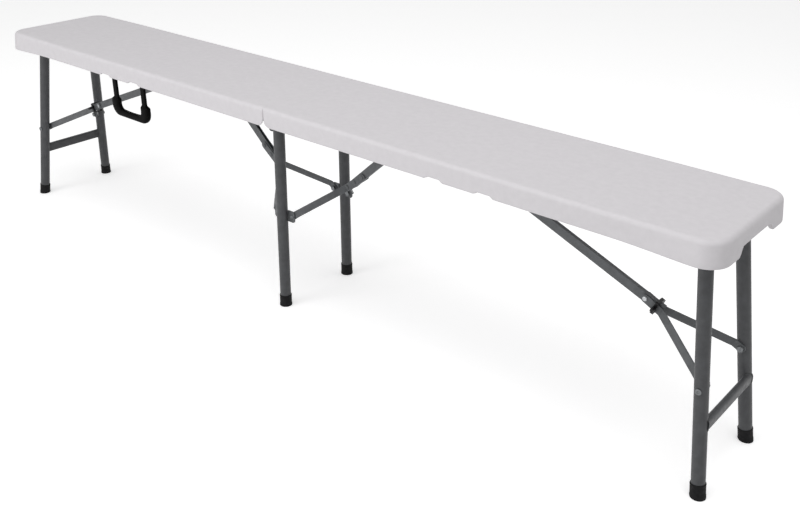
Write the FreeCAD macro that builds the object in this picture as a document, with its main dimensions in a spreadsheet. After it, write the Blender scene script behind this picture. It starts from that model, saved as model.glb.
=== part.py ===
import FreeCAD, Part
import math
import os
import Sketcher

# Folding bench, modelled open and standing on the floor.
# +X runs along the seat, +Y across it, +Z up. The origin is on the floor below the middle.
# All sizes are millimetres.

DOC = FreeCAD.newDocument("folding_bench")
SHEET = DOC.addObject("Spreadsheet::Sheet", "Sizes")
SIZE = {}
NODES = []

Vector = FreeCAD.Vector
Placement = FreeCAD.Placement
Rotation = FreeCAD.Rotation
X_AXIS = Vector(1, 0, 0)
Y_AXIS = Vector(0, 1, 0)
Z_AXIS = Vector(0, 0, 1)
ORIGIN = Vector(0, 0, 0)


def size(alias, value, meaning):
    """Write one named size into the sheet and keep its value under the same name."""
    row = len(SIZE) + 1
    SHEET.set("A%d" % row, meaning)
    SHEET.set("B%d" % row, "%.9f" % value)
    SHEET.setAlias("B%d" % row, alias)
    SIZE[alias] = value
    return value


# Seat
seat_length = size("seat_length", 1830.0, "length of the open seat")
seat_width = size("seat_width", 264.0, "width of the seat")
seat_height = size("seat_height", 444.0, "floor to seat surface")
seat_depth = size("seat_depth", 38.0, "depth of the skirt, seat surface to rim")
panel_thickness = size("panel_thickness", 10.0, "thickness of the seat panel")
skirt_wall = size("skirt_wall", 8.0, "thickness of the skirt")
corner_radius = size("corner_radius", 38.0, "plan radius of the outer corners")
top_edge_radius = size("top_edge_radius", 6.5, "rounding of the top edge")
split_gap = size("split_gap", 0.5, "gap between the two halves")
split_corner_radius = size("split_corner_radius", 14.0, "rounding of the skirt's lower corner at the split")
split_edge_radius = size("split_edge_radius", 0.8, "rounding of the top edge at the split")
split_lip_depth = size("split_lip_depth", 10.0, "depth of the lip at the split below the panel")
arch_width = size("arch_width", 116.0, "width of the hand arch in the end skirt")
arch_height = size("arch_height", 14.0, "height of the hand arch above the rim")
arch_radius = size("arch_radius", 9.0, "corner radius of the hand arch")
dimple_radius = size("dimple_radius", 9.0, "mouth radius of a tack-off dimple in the underside")
dimple_depth = size("dimple_depth", 4.0, "depth of a tack-off dimple")
dimple_pitch = size("dimple_pitch", 62.0, "distance between dimples")
dimple_row = size("dimple_row", 44.0, "distance of the dimple rows from the middle")
dimple_start = size("dimple_start", 60.0, "first dimple from the split")
dimple_count = 13
recess_depth = size("recess_depth", 6.6, "depth of the recess in the underside for the folded braces")
recess_width = size("recess_width", 26.0, "width of the recess")
recess_start = size("recess_start", 26.0, "start of the recess from the split")
recess_end_inset = size("recess_end_inset", 84.0, "end of the recess from the end of the seat")

# Carry handle and the notches that its necks pass through
handle_place = size("handle_place", 465.5, "middle of the handle from the split")
neck_pitch = size("neck_pitch", 103.0, "distance between the two necks")
neck_width = size("neck_width", 14.5, "width of a neck along the seat")
neck_thickness = size("neck_thickness", 6.0, "thickness of a neck")
notch_width = size("notch_width", 33.0, "width of a notch in the near rim")
notch_depth = size("notch_depth", 4.5, "depth of a notch")
handle_inset = size("handle_inset", 24.0, "handle pin from the outer face of the skirt")
handle_pin_drop = size("handle_pin_drop", 21.0, "handle pin below the panel")
handle_drop = size("handle_drop", 101.0, "handle pin to the lowest point of the grip")
grip_width = size("grip_width", 134.0, "outer width of the grip")
grip_height = size("grip_height", 40.0, "height of the grip with its knuckles")
grip_bar = size("grip_bar", 16.0, "thickness of the grip bar")
grip_depth = size("grip_depth", 14.0, "thickness of the grip across the seat")
knuckle_width = size("knuckle_width", 27.0, "width of a knuckle")
grip_corner = size("grip_corner", 25.0, "outer corner radius of the grip")
grip_inner = size("grip_inner", 11.0, "inner corner radius of the grip")
knuckle_round = size("knuckle_round", 7.0, "rounding of the top of a knuckle")
grip_round = size("grip_round", 4.5, "edge rounding of the grip")
handle_pin_radius = size("handle_pin_radius", 2.0, "radius of a handle pin")
handle_eye_radius = size("handle_eye_radius", 4.2, "outer radius of the eye of a neck")
handle_plate_width = size("handle_plate_width", 6.4, "width of the handle's base plate and lugs")
handle_plate_length = size("handle_plate_length", 140.0, "length of the handle's base plate")

# Steel frame below the seat
rail_width = size("rail_width", 12.0, "width of a side rail")
rail_height = size("rail_height", 14.0, "height of a side rail")
rail_wall = size("rail_wall", 1.5, "wall of a side rail")
rail_side_gap = size("rail_side_gap", 0.5, "side rail to skirt")
rail_start = size("rail_start", 14.0, "start of a side rail from the split")
rail_end_inset = size("rail_end_inset", 33.0, "end of a side rail from the end of the seat")
hinge_drop = size("hinge_drop", 6.6, "folding axis below the rim")
rod_radius = size("rod_radius", 5.0, "radius of the pivot rods")
plate_thickness = size("plate_thickness", 2.0, "thickness of pressed steel plates")
plate_gap = size("plate_gap", 0.2, "gap between plates that move on each other")
hinge_eye_radius = size("hinge_eye_radius", 7.4, "eye of a hinge plate")
hinge_plate_length = size("hinge_plate_length", 52.0, "riveted length of a hinge plate on its rail")
hinge_plate_start = size("hinge_plate_start", 22.0, "start of the riveted length from the split")
hanger_length = size("hanger_length", 30.0, "length of a leg hanger along the rail")
hanger_margin = size("hanger_margin", 8.0, "hanger metal below the rod's centre")
bracket_length = size("bracket_length", 30.0, "length of a brace bracket")
bracket_width = size("bracket_width", 48.0, "width of a brace bracket")
bracket_ear_length = size("bracket_ear_length", 18.0, "length of a bracket ear")
bracket_margin = size("bracket_margin", 7.0, "ear metal below the pin's centre")
bracket_screw_pitch = size("bracket_screw_pitch", 37.0, "distance between the two screws of a bracket")
handle_screw_pitch = size("handle_screw_pitch", 36.0, "distance between the screws of the handle's plate")
screw_radius = size("screw_radius", 1.9, "radius of a screw's shank")
screw_head_radius = size("screw_head_radius", 3.2, "radius of a screw's head")
screw_head_height = size("screw_head_height", 2.4, "height of a screw's head")
screw_bite = size("screw_bite", 6.0, "length of a screw in the panel")
screw_clearance = size("screw_clearance", 0.2, "hole radius less shank radius")
rail_screw_start = size("rail_screw_start", 110.0, "first rail screw from the split")
rail_screw_pitch = size("rail_screw_pitch", 220.0, "distance between rail screws")
rail_screw_count = 4

# Legs
tube_diameter = size("tube_diameter", 23.0, "outer diameter of the leg tubes")
tube_wall = size("tube_wall", 1.5, "wall of the leg tubes")
leg_pivot_inset = size("leg_pivot_inset", 47.6, "end leg pivot from the end of the seat")
leg_pivot_drop = size("leg_pivot_drop", 20.0, "end leg pivot below the panel")
leg_splay = size("leg_splay", 65.9, "outward reach of an end foot beyond its pivot")
leg_top_inset = size("leg_top_inset", 66.2, "end leg at its pivot from the side of the seat")
leg_foot_inset = size("leg_foot_inset", 36.0, "end leg at the floor from the side of the seat")
middle_top_inset = size("middle_top_inset", 40.5, "middle leg at the hinge from the side of the seat")
middle_foot_inset = size("middle_foot_inset", 36.5, "middle leg at the floor from the side of the seat")
leg_top_reach = size("leg_top_reach", 9.0, "tube above its pivot")
sleeve_diameter = size("sleeve_diameter", 16.0, "outer diameter of the pivot sleeves")
running_gap = size("running_gap", 0.06, "radial gap of a pin in its hole")
seat_gap = size("seat_gap", 0.3, "gap left where a piece is welded or clamped to a round tube")
crossbar_width = size("crossbar_width", 12.0, "width of the flattened crossbar of an end leg set")
crossbar_depth = size("crossbar_depth", 22.0, "height of the flattened crossbar")
crossbar_offset = size("crossbar_offset", 6.5, "crossbar outward of the middle of the tubes")
crossbar_height = size("crossbar_height", 123.0, "height of the crossbar above the floor")
foot_radius = size("foot_radius", 13.2, "outer radius of a foot cap")
foot_height = size("foot_height", 25.0, "height of a foot cap")
foot_taper = size("foot_taper", 6.0, "tapered collar of a foot cap")
foot_floor = size("foot_floor", 5.0, "rubber below the tube")
foot_round = size("foot_round", 3.5, "rounding of the bottom of a foot cap")
foot_fit = size("foot_fit", 0.1, "gap between tube and foot cap")

# Y-shaped braces
link_width = size("link_width", 8.0, "width of the upper link's channel")
link_height = size("link_height", 16.4, "height of the upper link's channel")
link_wall = size("link_wall", 1.6, "sheet of the upper link")
strap_thickness = size("strap_thickness", 2.5, "thickness of a strap")
strap_height = size("strap_height", 14.5, "height of a strap")
strap_gap = size("strap_gap", 0.3, "gap between strap and channel")
rivet_radius = size("rivet_radius", 3.0, "radius of rivets, pins and bolts")
rivet_head_radius = size("rivet_head_radius", 4.4, "radius of rivet heads")
pin_head_radius = size("pin_head_radius", 3.9, "radius of the heads of the bracket pins")
rivet_head_height = size("rivet_head_height", 2.0, "height of rivet heads")
nut_radius = size("nut_radius", 5.6, "corner radius of a nut")
nut_height = size("nut_height", 4.5, "height of a nut")
bolt_head_radius = size("bolt_head_radius", 5.2, "radius of a bolt's round head")
bolt_head_height = size("bolt_head_height", 2.6, "height of a bolt's round head")
end_anchor = size("end_anchor", 333.0, "end brace anchor from the split")
end_anchor_drop = size("end_anchor_drop", 6.4, "end brace anchor below the panel")
end_bolt_height = size("end_bolt_height", 184.0, "end brace bolt above the floor")
end_toggle_rise = size("end_toggle_rise", 10.0, "end brace joint above the line from anchor to bolt")
end_link_tail = size("end_link_tail", 34.0, "upper link beyond the joint of an end brace")
end_strap_straight = size("end_strap_straight", 33.0, "straight run of an end strap past the joint")
end_strap_foot = size("end_strap_foot", 14.0, "straight run of an end strap before its bolt")
middle_anchor = size("middle_anchor", 275.0, "middle brace anchor from the split")
middle_anchor_rise = size("middle_anchor_rise", 5.5, "middle brace anchor above its folded bolt")
middle_bolt_offset = size("middle_bolt_offset", 21.0, "middle brace bolt beside the legs' plane")
middle_bolt_height = size("middle_bolt_height", 207.0, "middle brace bolt above the floor")
middle_toggle_sag = size("middle_toggle_sag", 6.0, "middle brace joint below the line from anchor to bolt")
middle_link_tail = size("middle_link_tail", 9.4, "upper link beyond the joint of a middle brace")
middle_strap_tail = size("middle_strap_tail", 33.0, "strap beyond the joint of a middle brace")
middle_strap_straight = size("middle_strap_straight", 30.0, "straight run of a middle strap past the joint")
middle_strap_foot = size("middle_strap_foot", 13.0, "straight run of a middle strap before its bolt")
middle_strap_inset = size("middle_strap_inset", 10.5, "middle strap's bolted end inside the middle of its leg")
middle_rivet_pitch = size("middle_rivet_pitch", 25.0, "rivets of a middle strap on either side of the joint")
tab_thickness = size("tab_thickness", 3.0, "thickness of the tabs on the middle legs")
tab_height = size("tab_height", 24.0, "height of a tab")
strap_foot_clearance = size("strap_foot_clearance", 1.2, "end strap to the inner side of its leg")

# Locking ring
ring_thickness = size("ring_thickness", 2.9, "wall of a locking ring")
ring_length = size("ring_length", 6.0, "length of a locking ring along the link")
ring_half_opening = size("ring_half_opening", 8.9, "half width of the ring's opening")
ring_above = size("ring_above", 8.4, "opening above the middle of the link")
ring_below = size("ring_below", 10.9, "opening below the middle of the link")
ring_place = size("ring_place", 21.8, "locked ring beyond the joint")
ring_span = size("ring_span", 44.0, "overall width of a ring with its two ears")
ring_ear = size("ring_ear", 5.0, "height of a ring's ear")

# Levels and places that follow from the sizes above
leg_top_spacing = size("leg_top_spacing", seat_width - 2 * leg_top_inset, "between the end legs at the pivot")
leg_foot_spacing = size("leg_foot_spacing", seat_width - 2 * leg_foot_inset, "between the end legs at the floor")
middle_top_spacing = size("middle_top_spacing", seat_width - 2 * middle_top_inset, "between the middle legs, top")
middle_foot_spacing = size("middle_foot_spacing", seat_width - 2 * middle_foot_inset, "between them at the floor")
half_length = size("half_length", (seat_length - split_gap) / 2, "length of one half")
half_gap = size("half_gap", split_gap / 2, "start of a half from the middle")
rim_level = size("rim_level", seat_height - seat_depth, "height of the rim")
panel_level = size("panel_level", seat_height - panel_thickness, "height of the underside")
cavity_depth = size("cavity_depth", seat_depth - panel_thickness, "depth of the hollow below the panel")
cavity_width = size("cavity_width", seat_width - 2 * skirt_wall, "width of the hollow")
inner_corner = size("inner_corner", corner_radius - skirt_wall, "plan radius of the hollow's outer corners")
lip_cut = size("lip_cut", cavity_depth - split_lip_depth, "opening below the lip at the split")
hinge_level = size("hinge_level", rim_level - hinge_drop, "height of the folding axis")
leg_pivot_level = size("leg_pivot_level", panel_level - leg_pivot_drop, "height of the end leg pivot")
leg_pivot_place = size("leg_pivot_place", seat_length / 2 - leg_pivot_inset, "end leg pivot from the middle")
middle_folded_level = size("middle_folded_level", hinge_level + middle_bolt_offset, "folded middle bolt")
middle_anchor_level = size("middle_anchor_level", middle_folded_level + middle_anchor_rise, "middle anchor")
rail_length = size("rail_length", seat_length / 2 - rail_end_inset - rail_start, "length of a side rail")
rail_face = size("rail_face", cavity_width / 2 - rail_side_gap - rail_width, "inner face of a rail from the middle")
rail_level = size("rail_level", panel_level - rail_height, "underside of a rail")
tube_radius = size("tube_radius", tube_diameter / 2, "outer radius of the leg tubes")
tube_bore = size("tube_bore", tube_radius - tube_wall, "bore radius of the leg tubes")
rod_hole = size("rod_hole", rod_radius + running_gap, "hole for a pivot rod")
pin_hole = size("pin_hole", rivet_radius + running_gap, "hole for a rivet, pin or bolt")
handle_hole = size("handle_hole", handle_pin_radius + running_gap, "hole for a handle pin")
screw_hole = size("screw_hole", screw_radius + screw_clearance, "hole for a screw")
pilot_depth = size("pilot_depth", screw_bite + 0.5, "depth of a screw hole in the panel")
strap_face = size("strap_face", link_width / 2 + strap_gap, "inner face of a strap at the joint")
strap_middle = size("strap_middle", strap_face + strap_thickness / 2, "middle of a strap at the joint")
strap_outside = size("strap_outside", strap_face + strap_thickness, "outer face of a strap at the joint")
link_half = size("link_half", link_height / 2, "half the height of the upper link")
end_radius = size("end_radius", link_height / 2 - 0.1, "rounding of the ends of links")
strap_end_radius = size("strap_end_radius", strap_height / 2 - 0.1, "rounding of the ends of straps")
hinge_outer_face = size("hinge_outer_face", rail_face - plate_gap, "outer face of the left hinge plates")
hinge_left_face = size("hinge_left_face", hinge_outer_face - plate_thickness, "inner face of the left plates")
hinge_right_outer = size("hinge_right_outer", hinge_left_face - plate_gap, "outer face of the right plates")
hinge_right_face = size("hinge_right_face", hinge_right_outer - plate_thickness, "inner face of the right plates")
rod_length = size("rod_length", 2 * hinge_outer_face, "length of a pivot rod")


# Helpers for features


def bind(thing, prop, alias):
    """Tie one property of an object to a named size."""
    thing.setExpression(prop, "Sizes." + alias)


def node(thing, label, place=None):
    """Give a finished sub-part its own name and its place in the bench."""
    thing.Label = label
    if place is not None:
        thing.Placement = place
    NODES.append(thing)
    return thing


def new_body(name):
    return DOC.addObject("PartDesign::Body", name)


def new_sketch(body, role, offset=0.0):
    """A sketch on one of the body's own origin planes, moved along its normal."""
    sketch = body.newObject("Sketcher::SketchObject", body.Name + "_sketch")
    for feature in body.Origin.OriginFeatures:
        if feature.Role == role:
            sketch.AttachmentSupport = [(feature, "")]
    sketch.MapMode = "FlatFace"
    sketch.AttachmentOffset = Placement(Vector(0, 0, offset), Rotation())
    return sketch


def add_circle(sketch, centre, alias):
    """A circle whose radius is a named size."""
    index = sketch.addGeometry(Part.Circle(Vector(centre[0], centre[1], 0), Z_AXIS, SIZE[alias]), False)
    sketch.addConstraint(Sketcher.Constraint("DistanceX", -1, 1, index, 3, centre[0]))
    sketch.addConstraint(Sketcher.Constraint("DistanceY", -1, 1, index, 3, centre[1]))
    radius = sketch.addConstraint(Sketcher.Constraint("Radius", index, SIZE[alias]))
    sketch.setExpression("Constraints[%d]" % radius, "Sizes." + alias)
    return index


def add_rectangle(sketch, corner, width_alias, height_alias):
    """A rectangle from its lower left corner, with both sides named sizes."""
    x0, y0 = corner
    x1 = x0 + SIZE[width_alias]
    y1 = y0 + SIZE[height_alias]
    corners = [Vector(x0, y0, 0), Vector(x1, y0, 0), Vector(x1, y1, 0), Vector(x0, y1, 0)]
    first = sketch.GeometryCount
    for step in range(4):
        sketch.addGeometry(Part.LineSegment(corners[step], corners[(step + 1) % 4]), False)
    for step in range(4):
        joint = (first + step, 2, first + (step + 1) % 4, 1)
        sketch.addConstraint(Sketcher.Constraint("Coincident", *joint))
    for step in (0, 2):
        sketch.addConstraint(Sketcher.Constraint("Horizontal", first + step))
        sketch.addConstraint(Sketcher.Constraint("Vertical", first + step + 1))
    sketch.addConstraint(Sketcher.Constraint("DistanceX", -1, 1, first, 1, x0))
    sketch.addConstraint(Sketcher.Constraint("DistanceY", -1, 1, first, 1, y0))
    width = sketch.addConstraint(Sketcher.Constraint("DistanceX", first, 1, first, 2, x1 - x0))
    height = sketch.addConstraint(Sketcher.Constraint("DistanceY", first + 1, 1, first + 1, 2, y1 - y0))
    sketch.setExpression("Constraints[%d]" % width, "Sizes." + width_alias)
    sketch.setExpression("Constraints[%d]" % height, "Sizes." + height_alias)


def add_polygon(sketch, points):
    """A closed outline through points worked out from the named sizes.

    A third number of a point is the radius that rounds the corner there.
    """
    pieces = []
    count = len(points)
    for step, point in enumerate(points):
        corner = Vector(point[0], point[1], 0)
        if len(point) < 3:
            pieces.append((corner, None, corner))
            continue
        before = Vector(points[step - 1][0], points[step - 1][1], 0) - corner
        after = Vector(points[(step + 1) % count][0], points[(step + 1) % count][1], 0) - corner
        half = before.getAngle(after) / 2
        reach = point[2] / math.tan(half)
        middle = (before.normalize() + after.normalize()).normalize()
        crown = corner + middle * (point[2] / math.sin(half) - point[2])
        pieces.append((corner + before * reach, crown, corner + after * reach))
    for step, (start, crown, end) in enumerate(pieces):
        edges = [Part.LineSegment(end, pieces[(step + 1) % count][0])]
        if crown is not None:
            edges.insert(0, Part.Arc(start, crown, end))
        for edge in edges:
            index = sketch.addGeometry(edge, False)
            sketch.addConstraint(Sketcher.Constraint("Block", index))


def pad(body, sketch, alias, midplane=False, reverse=False):
    feature = body.newObject("PartDesign::Pad", body.Name + "_pad")
    feature.Profile = sketch
    feature.Length = SIZE[alias]
    bind(feature, "Length", alias)
    feature.SideType = "Symmetric" if midplane else "One side"
    feature.Reversed = reverse
    return feature


def pocket(body, sketch, alias=None, reverse=False):
    """Cut a sketch away, to a named depth or through everything on both sides."""
    feature = body.newObject("PartDesign::Pocket", body.Name + "_pocket")
    feature.Profile = sketch
    if alias is None:
        feature.Type = "ThroughAll"
        feature.SideType = "Symmetric"
    else:
        feature.Length = SIZE[alias]
        bind(feature, "Length", alias)
    feature.Reversed = reverse
    return feature


def fillet(body, base, radius_alias, wanted):
    """Round the edges of a feature that pass a test on their two end points."""
    DOC.recompute()
    names = []
    for number, edge in enumerate(base.Shape.Edges, 1):
        ends = [vertex.Point for vertex in edge.Vertexes]
        if len(ends) == 2 and wanted(ends[0], ends[1]):
            names.append("Edge%d" % number)
    feature = body.newObject("PartDesign::Fillet", body.Name + "_fillet")
    feature.Base = (base, names)
    feature.Radius = SIZE[radius_alias]
    bind(feature, "Radius", radius_alias)
    DOC.recompute()
    return feature


def near(value, wanted):
    return abs(value - wanted) < 0.01


def cylinder(name, radius_alias, length, middle, direction):
    """A bound cylinder centred on a point, with its length along a direction."""
    solid = DOC.addObject("Part::Cylinder", name)
    bind(solid, "Radius", radius_alias)
    solid.Height = length
    turn = Rotation(Z_AXIS, direction)
    solid.Placement = Placement(middle - direction * (length / 2), turn)
    return solid


def box(name, low, high):
    """A box between two corners."""
    solid = DOC.addObject("Part::Box", name)
    solid.Length = high[0] - low[0]
    solid.Width = high[1] - low[1]
    solid.Height = high[2] - low[2]
    solid.Placement = Placement(Vector(*low), Rotation())
    return solid


def fuse(name, solids):
    joined = DOC.addObject("Part::MultiFuse", name)
    joined.Shapes = solids
    return joined


def cut(name, base, tools):
    """Cut several tools from one solid."""
    tool = tools[0] if len(tools) == 1 else fuse(name + "_tools", tools)
    result = DOC.addObject("Part::Cut", name)
    result.Base = base
    result.Tool = tool
    return result


def group(label, shapes, place):
    """Identical loose fasteners in one node, each a separate solid."""
    holder = DOC.addObject("Part::Feature", label)
    holder.Shape = Part.makeCompound(shapes)
    return node(holder, label, place)


def side_place(side):
    """The frame of the right half as it is, or turned half round for the left half."""
    return Placement(ORIGIN, Rotation(Z_AXIS, 0 if side > 0 else 180))


def side_name(side):
    return "right" if side > 0 else "left"


def link_place(start, end):
    """A frame at start in the plane across the seat's width, with local X towards end."""
    angle = math.degrees(math.atan2(end.z - start.z, end.x - start.x))
    return Placement(start, Rotation(Y_AXIS, -angle))


# Brace geometry: the two links of a brace reach from anchor to bolt both open and folded


def brace_joint(anchor, bolt, folded_bolt, offset):
    """The joint of two links: level with the anchor when folded, off the open line by offset."""
    span = (bolt - anchor).Length
    line = (bolt - anchor).normalize()
    upward = Vector(-line.z, 0, line.x)
    if upward.z < 0:
        upward = upward * -1
    away = math.copysign(1, folded_bolt.x - anchor.x)
    shortest = 0.0
    longest = span
    for step in range(60):
        reach = (shortest + longest) / 2
        folded = Vector(folded_bolt.x + away * reach, 0, anchor.z)
        upper = (folded - anchor).Length
        lower = (folded - folded_bolt).Length
        along = (upper ** 2 - lower ** 2 + span ** 2) / (2 * span)
        across = math.sqrt(max(upper ** 2 - along ** 2, 0))
        if across < abs(offset):
            shortest = reach
        else:
            longest = reach
    return anchor + line * along + upward * math.copysign(across, offset)


hinge = Vector(0, 0, hinge_level)
leg_pivot = Vector(leg_pivot_place, 0, leg_pivot_level)
foot_place = Vector(leg_pivot_place + leg_splay, 0, 0)


def leg_point(level, top_spacing, foot_spacing, top, foot):
    """A point of a leg's centre line at a height, with its distance from the middle plane."""
    share = (top.z - level) / top.z
    across = (top_spacing + (foot_spacing - top_spacing) * share) / 2
    return Vector(top.x + (foot.x - top.x) * share, across, level)


bolt_on_leg = leg_point(end_bolt_height, leg_top_spacing, leg_foot_spacing, leg_pivot, foot_place)
end_anchor_point = Vector(end_anchor, 0, panel_level - end_anchor_drop)
end_bolt_point = Vector(bolt_on_leg.x, 0, end_bolt_height)
end_folded_bolt = leg_pivot - X_AXIS * (end_bolt_point - leg_pivot).Length
end_joint = brace_joint(end_anchor_point, end_bolt_point, end_folded_bolt, end_toggle_rise)
end_upper_length = size("end_upper_length", (end_joint - end_anchor_point).Length, "upper link of an end brace")
end_lower_length = size("end_lower_length", (end_joint - end_bolt_point).Length, "strap of an end brace")

middle_anchor_point = Vector(middle_anchor, 0, middle_anchor_level)
middle_bolt_point = Vector(middle_bolt_offset, 0, middle_bolt_height)
middle_folded_bolt = Vector(hinge_level - middle_bolt_height, 0, middle_folded_level)
middle_joint = brace_joint(middle_anchor_point, middle_bolt_point, middle_folded_bolt, -middle_toggle_sag)
middle_upper_length = size("middle_upper_length", (middle_joint - middle_anchor_point).Length, "upper link")
middle_lower_length = size("middle_lower_length", (middle_joint - middle_bolt_point).Length, "middle strap")


# Seat


def rail_screws():
    """Places of the rail screws of one half, in the frame of the right half."""
    across = rail_face + rail_width / 2
    places = []
    for step in range(rail_screw_count):
        along = rail_screw_start + step * rail_screw_pitch
        places += [(along, -across), (along, across)]
    return places


def bracket_screws(along):
    """Places of the two screws of a brace bracket, one on each flange."""
    half = bracket_screw_pitch / 2
    return [(along, -half), (along, half)]


handle_line = seat_width / 2 - handle_inset


def handle_screws():
    """The handle's plate is on the near side of the left half, turned half round here."""
    half = handle_screw_pitch / 2
    return [(handle_place - half, handle_line), (handle_place + half, handle_line)]


def seat_half(side):
    """Blow-moulded half: panel and skirt, hollow from below, with arch, notches and dimples."""
    body = new_body("seat_" + side_name(side))
    outline = new_sketch(body, "XY_Plane", rim_level)
    add_rectangle(outline, (half_gap, -seat_width / 2), "half_length", "seat_width")
    block = pad(body, outline, "seat_depth")
    outer = half_gap + half_length
    block = fillet(body, block, "corner_radius", lambda a, b: near(a.x, outer) and near(b.x, outer)
                   and not near(a.z, b.z))
    block = fillet(body, block, "split_corner_radius", lambda a, b: near(a.x, half_gap)
                   and near(b.x, half_gap) and near(a.z, rim_level) and near(b.z, rim_level))
    block = fillet(body, block, "split_edge_radius", lambda a, b: near(a.x, half_gap)
                   and near(b.x, half_gap) and near(a.z, seat_height) and near(b.z, seat_height))
    block = fillet(body, block, "top_edge_radius", lambda a, b: near(a.z, seat_height)
                   and near(b.z, seat_height) and max(a.x, b.x) > half_length / 2)

    hollow = new_sketch(body, "XY_Plane", rim_level)
    x0 = half_gap + skirt_wall
    x1 = outer - skirt_wall
    y1 = cavity_width / 2
    add_polygon(hollow, [(x0, -y1), (x1, -y1, inner_corner), (x1, y1, inner_corner), (x0, y1)])
    pocket(body, hollow, "cavity_depth", reverse=True)

    lip = new_sketch(body, "XY_Plane", rim_level)
    add_polygon(lip, [(half_gap - 1, -y1), (x0 + 1, -y1), (x0 + 1, y1), (half_gap - 1, y1)])
    pocket(body, lip, "lip_cut", reverse=True)

    arch = new_sketch(body, "YZ_Plane", x1 - 1)
    foot = arch_width / 2 + arch_height
    top = arch_width / 2
    low = rim_level - 1
    high = rim_level + arch_height
    add_polygon(arch, [(-foot, low), (foot, low), (top, high, arch_radius), (-top, high, arch_radius)])
    opening = body.newObject("PartDesign::Pocket", body.Name + "_pocket")
    opening.Profile = arch
    opening.Type = "ThroughAll"
    opening.Reversed = True

    notches = new_sketch(body, "XZ_Plane", side * (seat_width / 2 - skirt_wall - 1))
    for step in (-1, 1):
        middle = handle_place + step * neck_pitch / 2
        low = rim_level - 1
        high = rim_level + notch_depth
        half = notch_width / 2
        add_polygon(notches, [(middle - half - notch_depth, low), (middle + half + notch_depth, low),
                              (middle + half - notch_depth, high), (middle - half + notch_depth, high)])
    opening = body.newObject("PartDesign::Pocket", body.Name + "_pocket")
    opening.Profile = notches
    opening.Type = "ThroughAll"
    opening.Reversed = side > 0

    pilots = new_sketch(body, "XY_Plane", panel_level)
    places = rail_screws() + bracket_screws(end_anchor) + bracket_screws(middle_anchor)
    if side < 0:
        places += handle_screws()
    for place in places:
        add_circle(pilots, place, "screw_hole")
    pocket(body, pilots, "pilot_depth", reverse=True)

    recess = new_sketch(body, "XY_Plane", panel_level)
    y1 = recess_width / 2
    x0 = recess_start
    x1 = seat_length / 2 - recess_end_inset
    add_polygon(recess, [(x0, -y1), (x1, -y1, y1 * 0.6), (x1, y1, y1 * 0.6), (x0, y1)])
    pocket(body, recess, "recess_depth", reverse=True)

    dimples = new_sketch(body, "XY_Plane", panel_level)
    for across in (-dimple_row, dimple_row):
        for step in range(dimple_count):
            add_circle(dimples, (dimple_start + step * dimple_pitch, across), "dimple_radius")
    hollows = pocket(body, dimples, "dimple_depth", reverse=True)
    hollows.TaperAngle = -25
    node(body, "seat_half_" + side_name(side), side_place(side))


def side_rails(side):
    """Two square tubes along the inside of the skirt."""
    length = rail_length
    tubes = []
    for across in (-rail_face - rail_width, rail_face):
        low = Vector(rail_start, across, rail_level)
        outer = Part.makeBox(length, rail_width, rail_height, low)
        bore = Part.makeBox(length, rail_width - 2 * rail_wall, rail_height - 2 * rail_wall,
                            low + Vector(0, rail_wall, rail_wall))
        tube = outer.cut(bore)
        for place in rail_screws():
            foot = Vector(place[0], place[1], rail_level - 1)
            tube = tube.cut(Part.makeCylinder(screw_hole, rail_height + 2, foot))
        tubes.append(tube)
    group("side_rails_" + side_name(side), tubes, side_place(side))


def screw_shape(place, head_level):
    """A pan-head screw that points up into the panel."""
    foot = Vector(place[0], place[1], head_level)
    head = Part.makeCylinder(screw_head_radius, screw_head_height, foot - Z_AXIS * screw_head_height)
    head = head.makeFillet(1.2, [head.Edges[2]]) if near(head.Edges[2].BoundBox.ZMin, foot.z
                                                         - screw_head_height) else head
    shank = Part.makeCylinder(screw_radius, panel_level + screw_bite - head_level, foot)
    return head.fuse(shank).removeSplitter()


def seat_screws(side):
    """All screws that hold rails and brackets to one half."""
    screws = [screw_shape(place, rail_level) for place in rail_screws()]
    plates = bracket_screws(end_anchor) + bracket_screws(middle_anchor)
    if side < 0:
        plates += handle_screws()
    screws += [screw_shape(place, panel_level - plate_thickness) for place in plates]
    group("seat_screws_" + side_name(side), screws, side_place(side))


def hinge_plate(side, near_side):
    """One centre hinge plate: an eye on the rod, an arm and a flat riveted to the rail."""
    outer = hinge_outer_face if side < 0 else hinge_right_outer
    inner = outer - plate_thickness
    flat = Part.makeBox(hinge_plate_length, hinge_outer_face - inner, rail_height,
                        Vector(hinge_plate_start, inner, rail_level))
    eye = Part.makeCylinder(hinge_eye_radius, plate_thickness, Vector(0, inner, hinge_level), Y_AXIS)
    start = Vector(0, inner, hinge_level)
    knee = Vector(hinge_plate_start, inner, rail_level)
    top = Vector(hinge_plate_start + 0.5, inner, panel_level)
    run = Vector(knee.x + rail_height, inner, rail_level)
    direction = (knee + Z_AXIS * (rail_height / 2) - start).normalize()
    normal = Vector(-direction.z, 0, direction.x)
    reach = hinge_eye_radius - 1.0
    outline = Part.makePolygon([start + normal * reach, top, run, start - normal * reach,
                                start + normal * reach])
    arm = Part.Face(outline).extrude(Y_AXIS * plate_thickness)
    plate = flat.fuse([eye, arm]).removeSplitter()
    plate = plate.cut(Part.makeCylinder(rod_hole, plate_thickness + 2, start - Y_AXIS, Y_AXIS))
    if near_side:
        plate = plate.mirror(ORIGIN, Y_AXIS)
    return plate


def hinge_plates(side):
    plates = [hinge_plate(side, False), hinge_plate(side, True)]
    group("centre_hinge_plates_" + side_name(side), plates, side_place(side))


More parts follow.
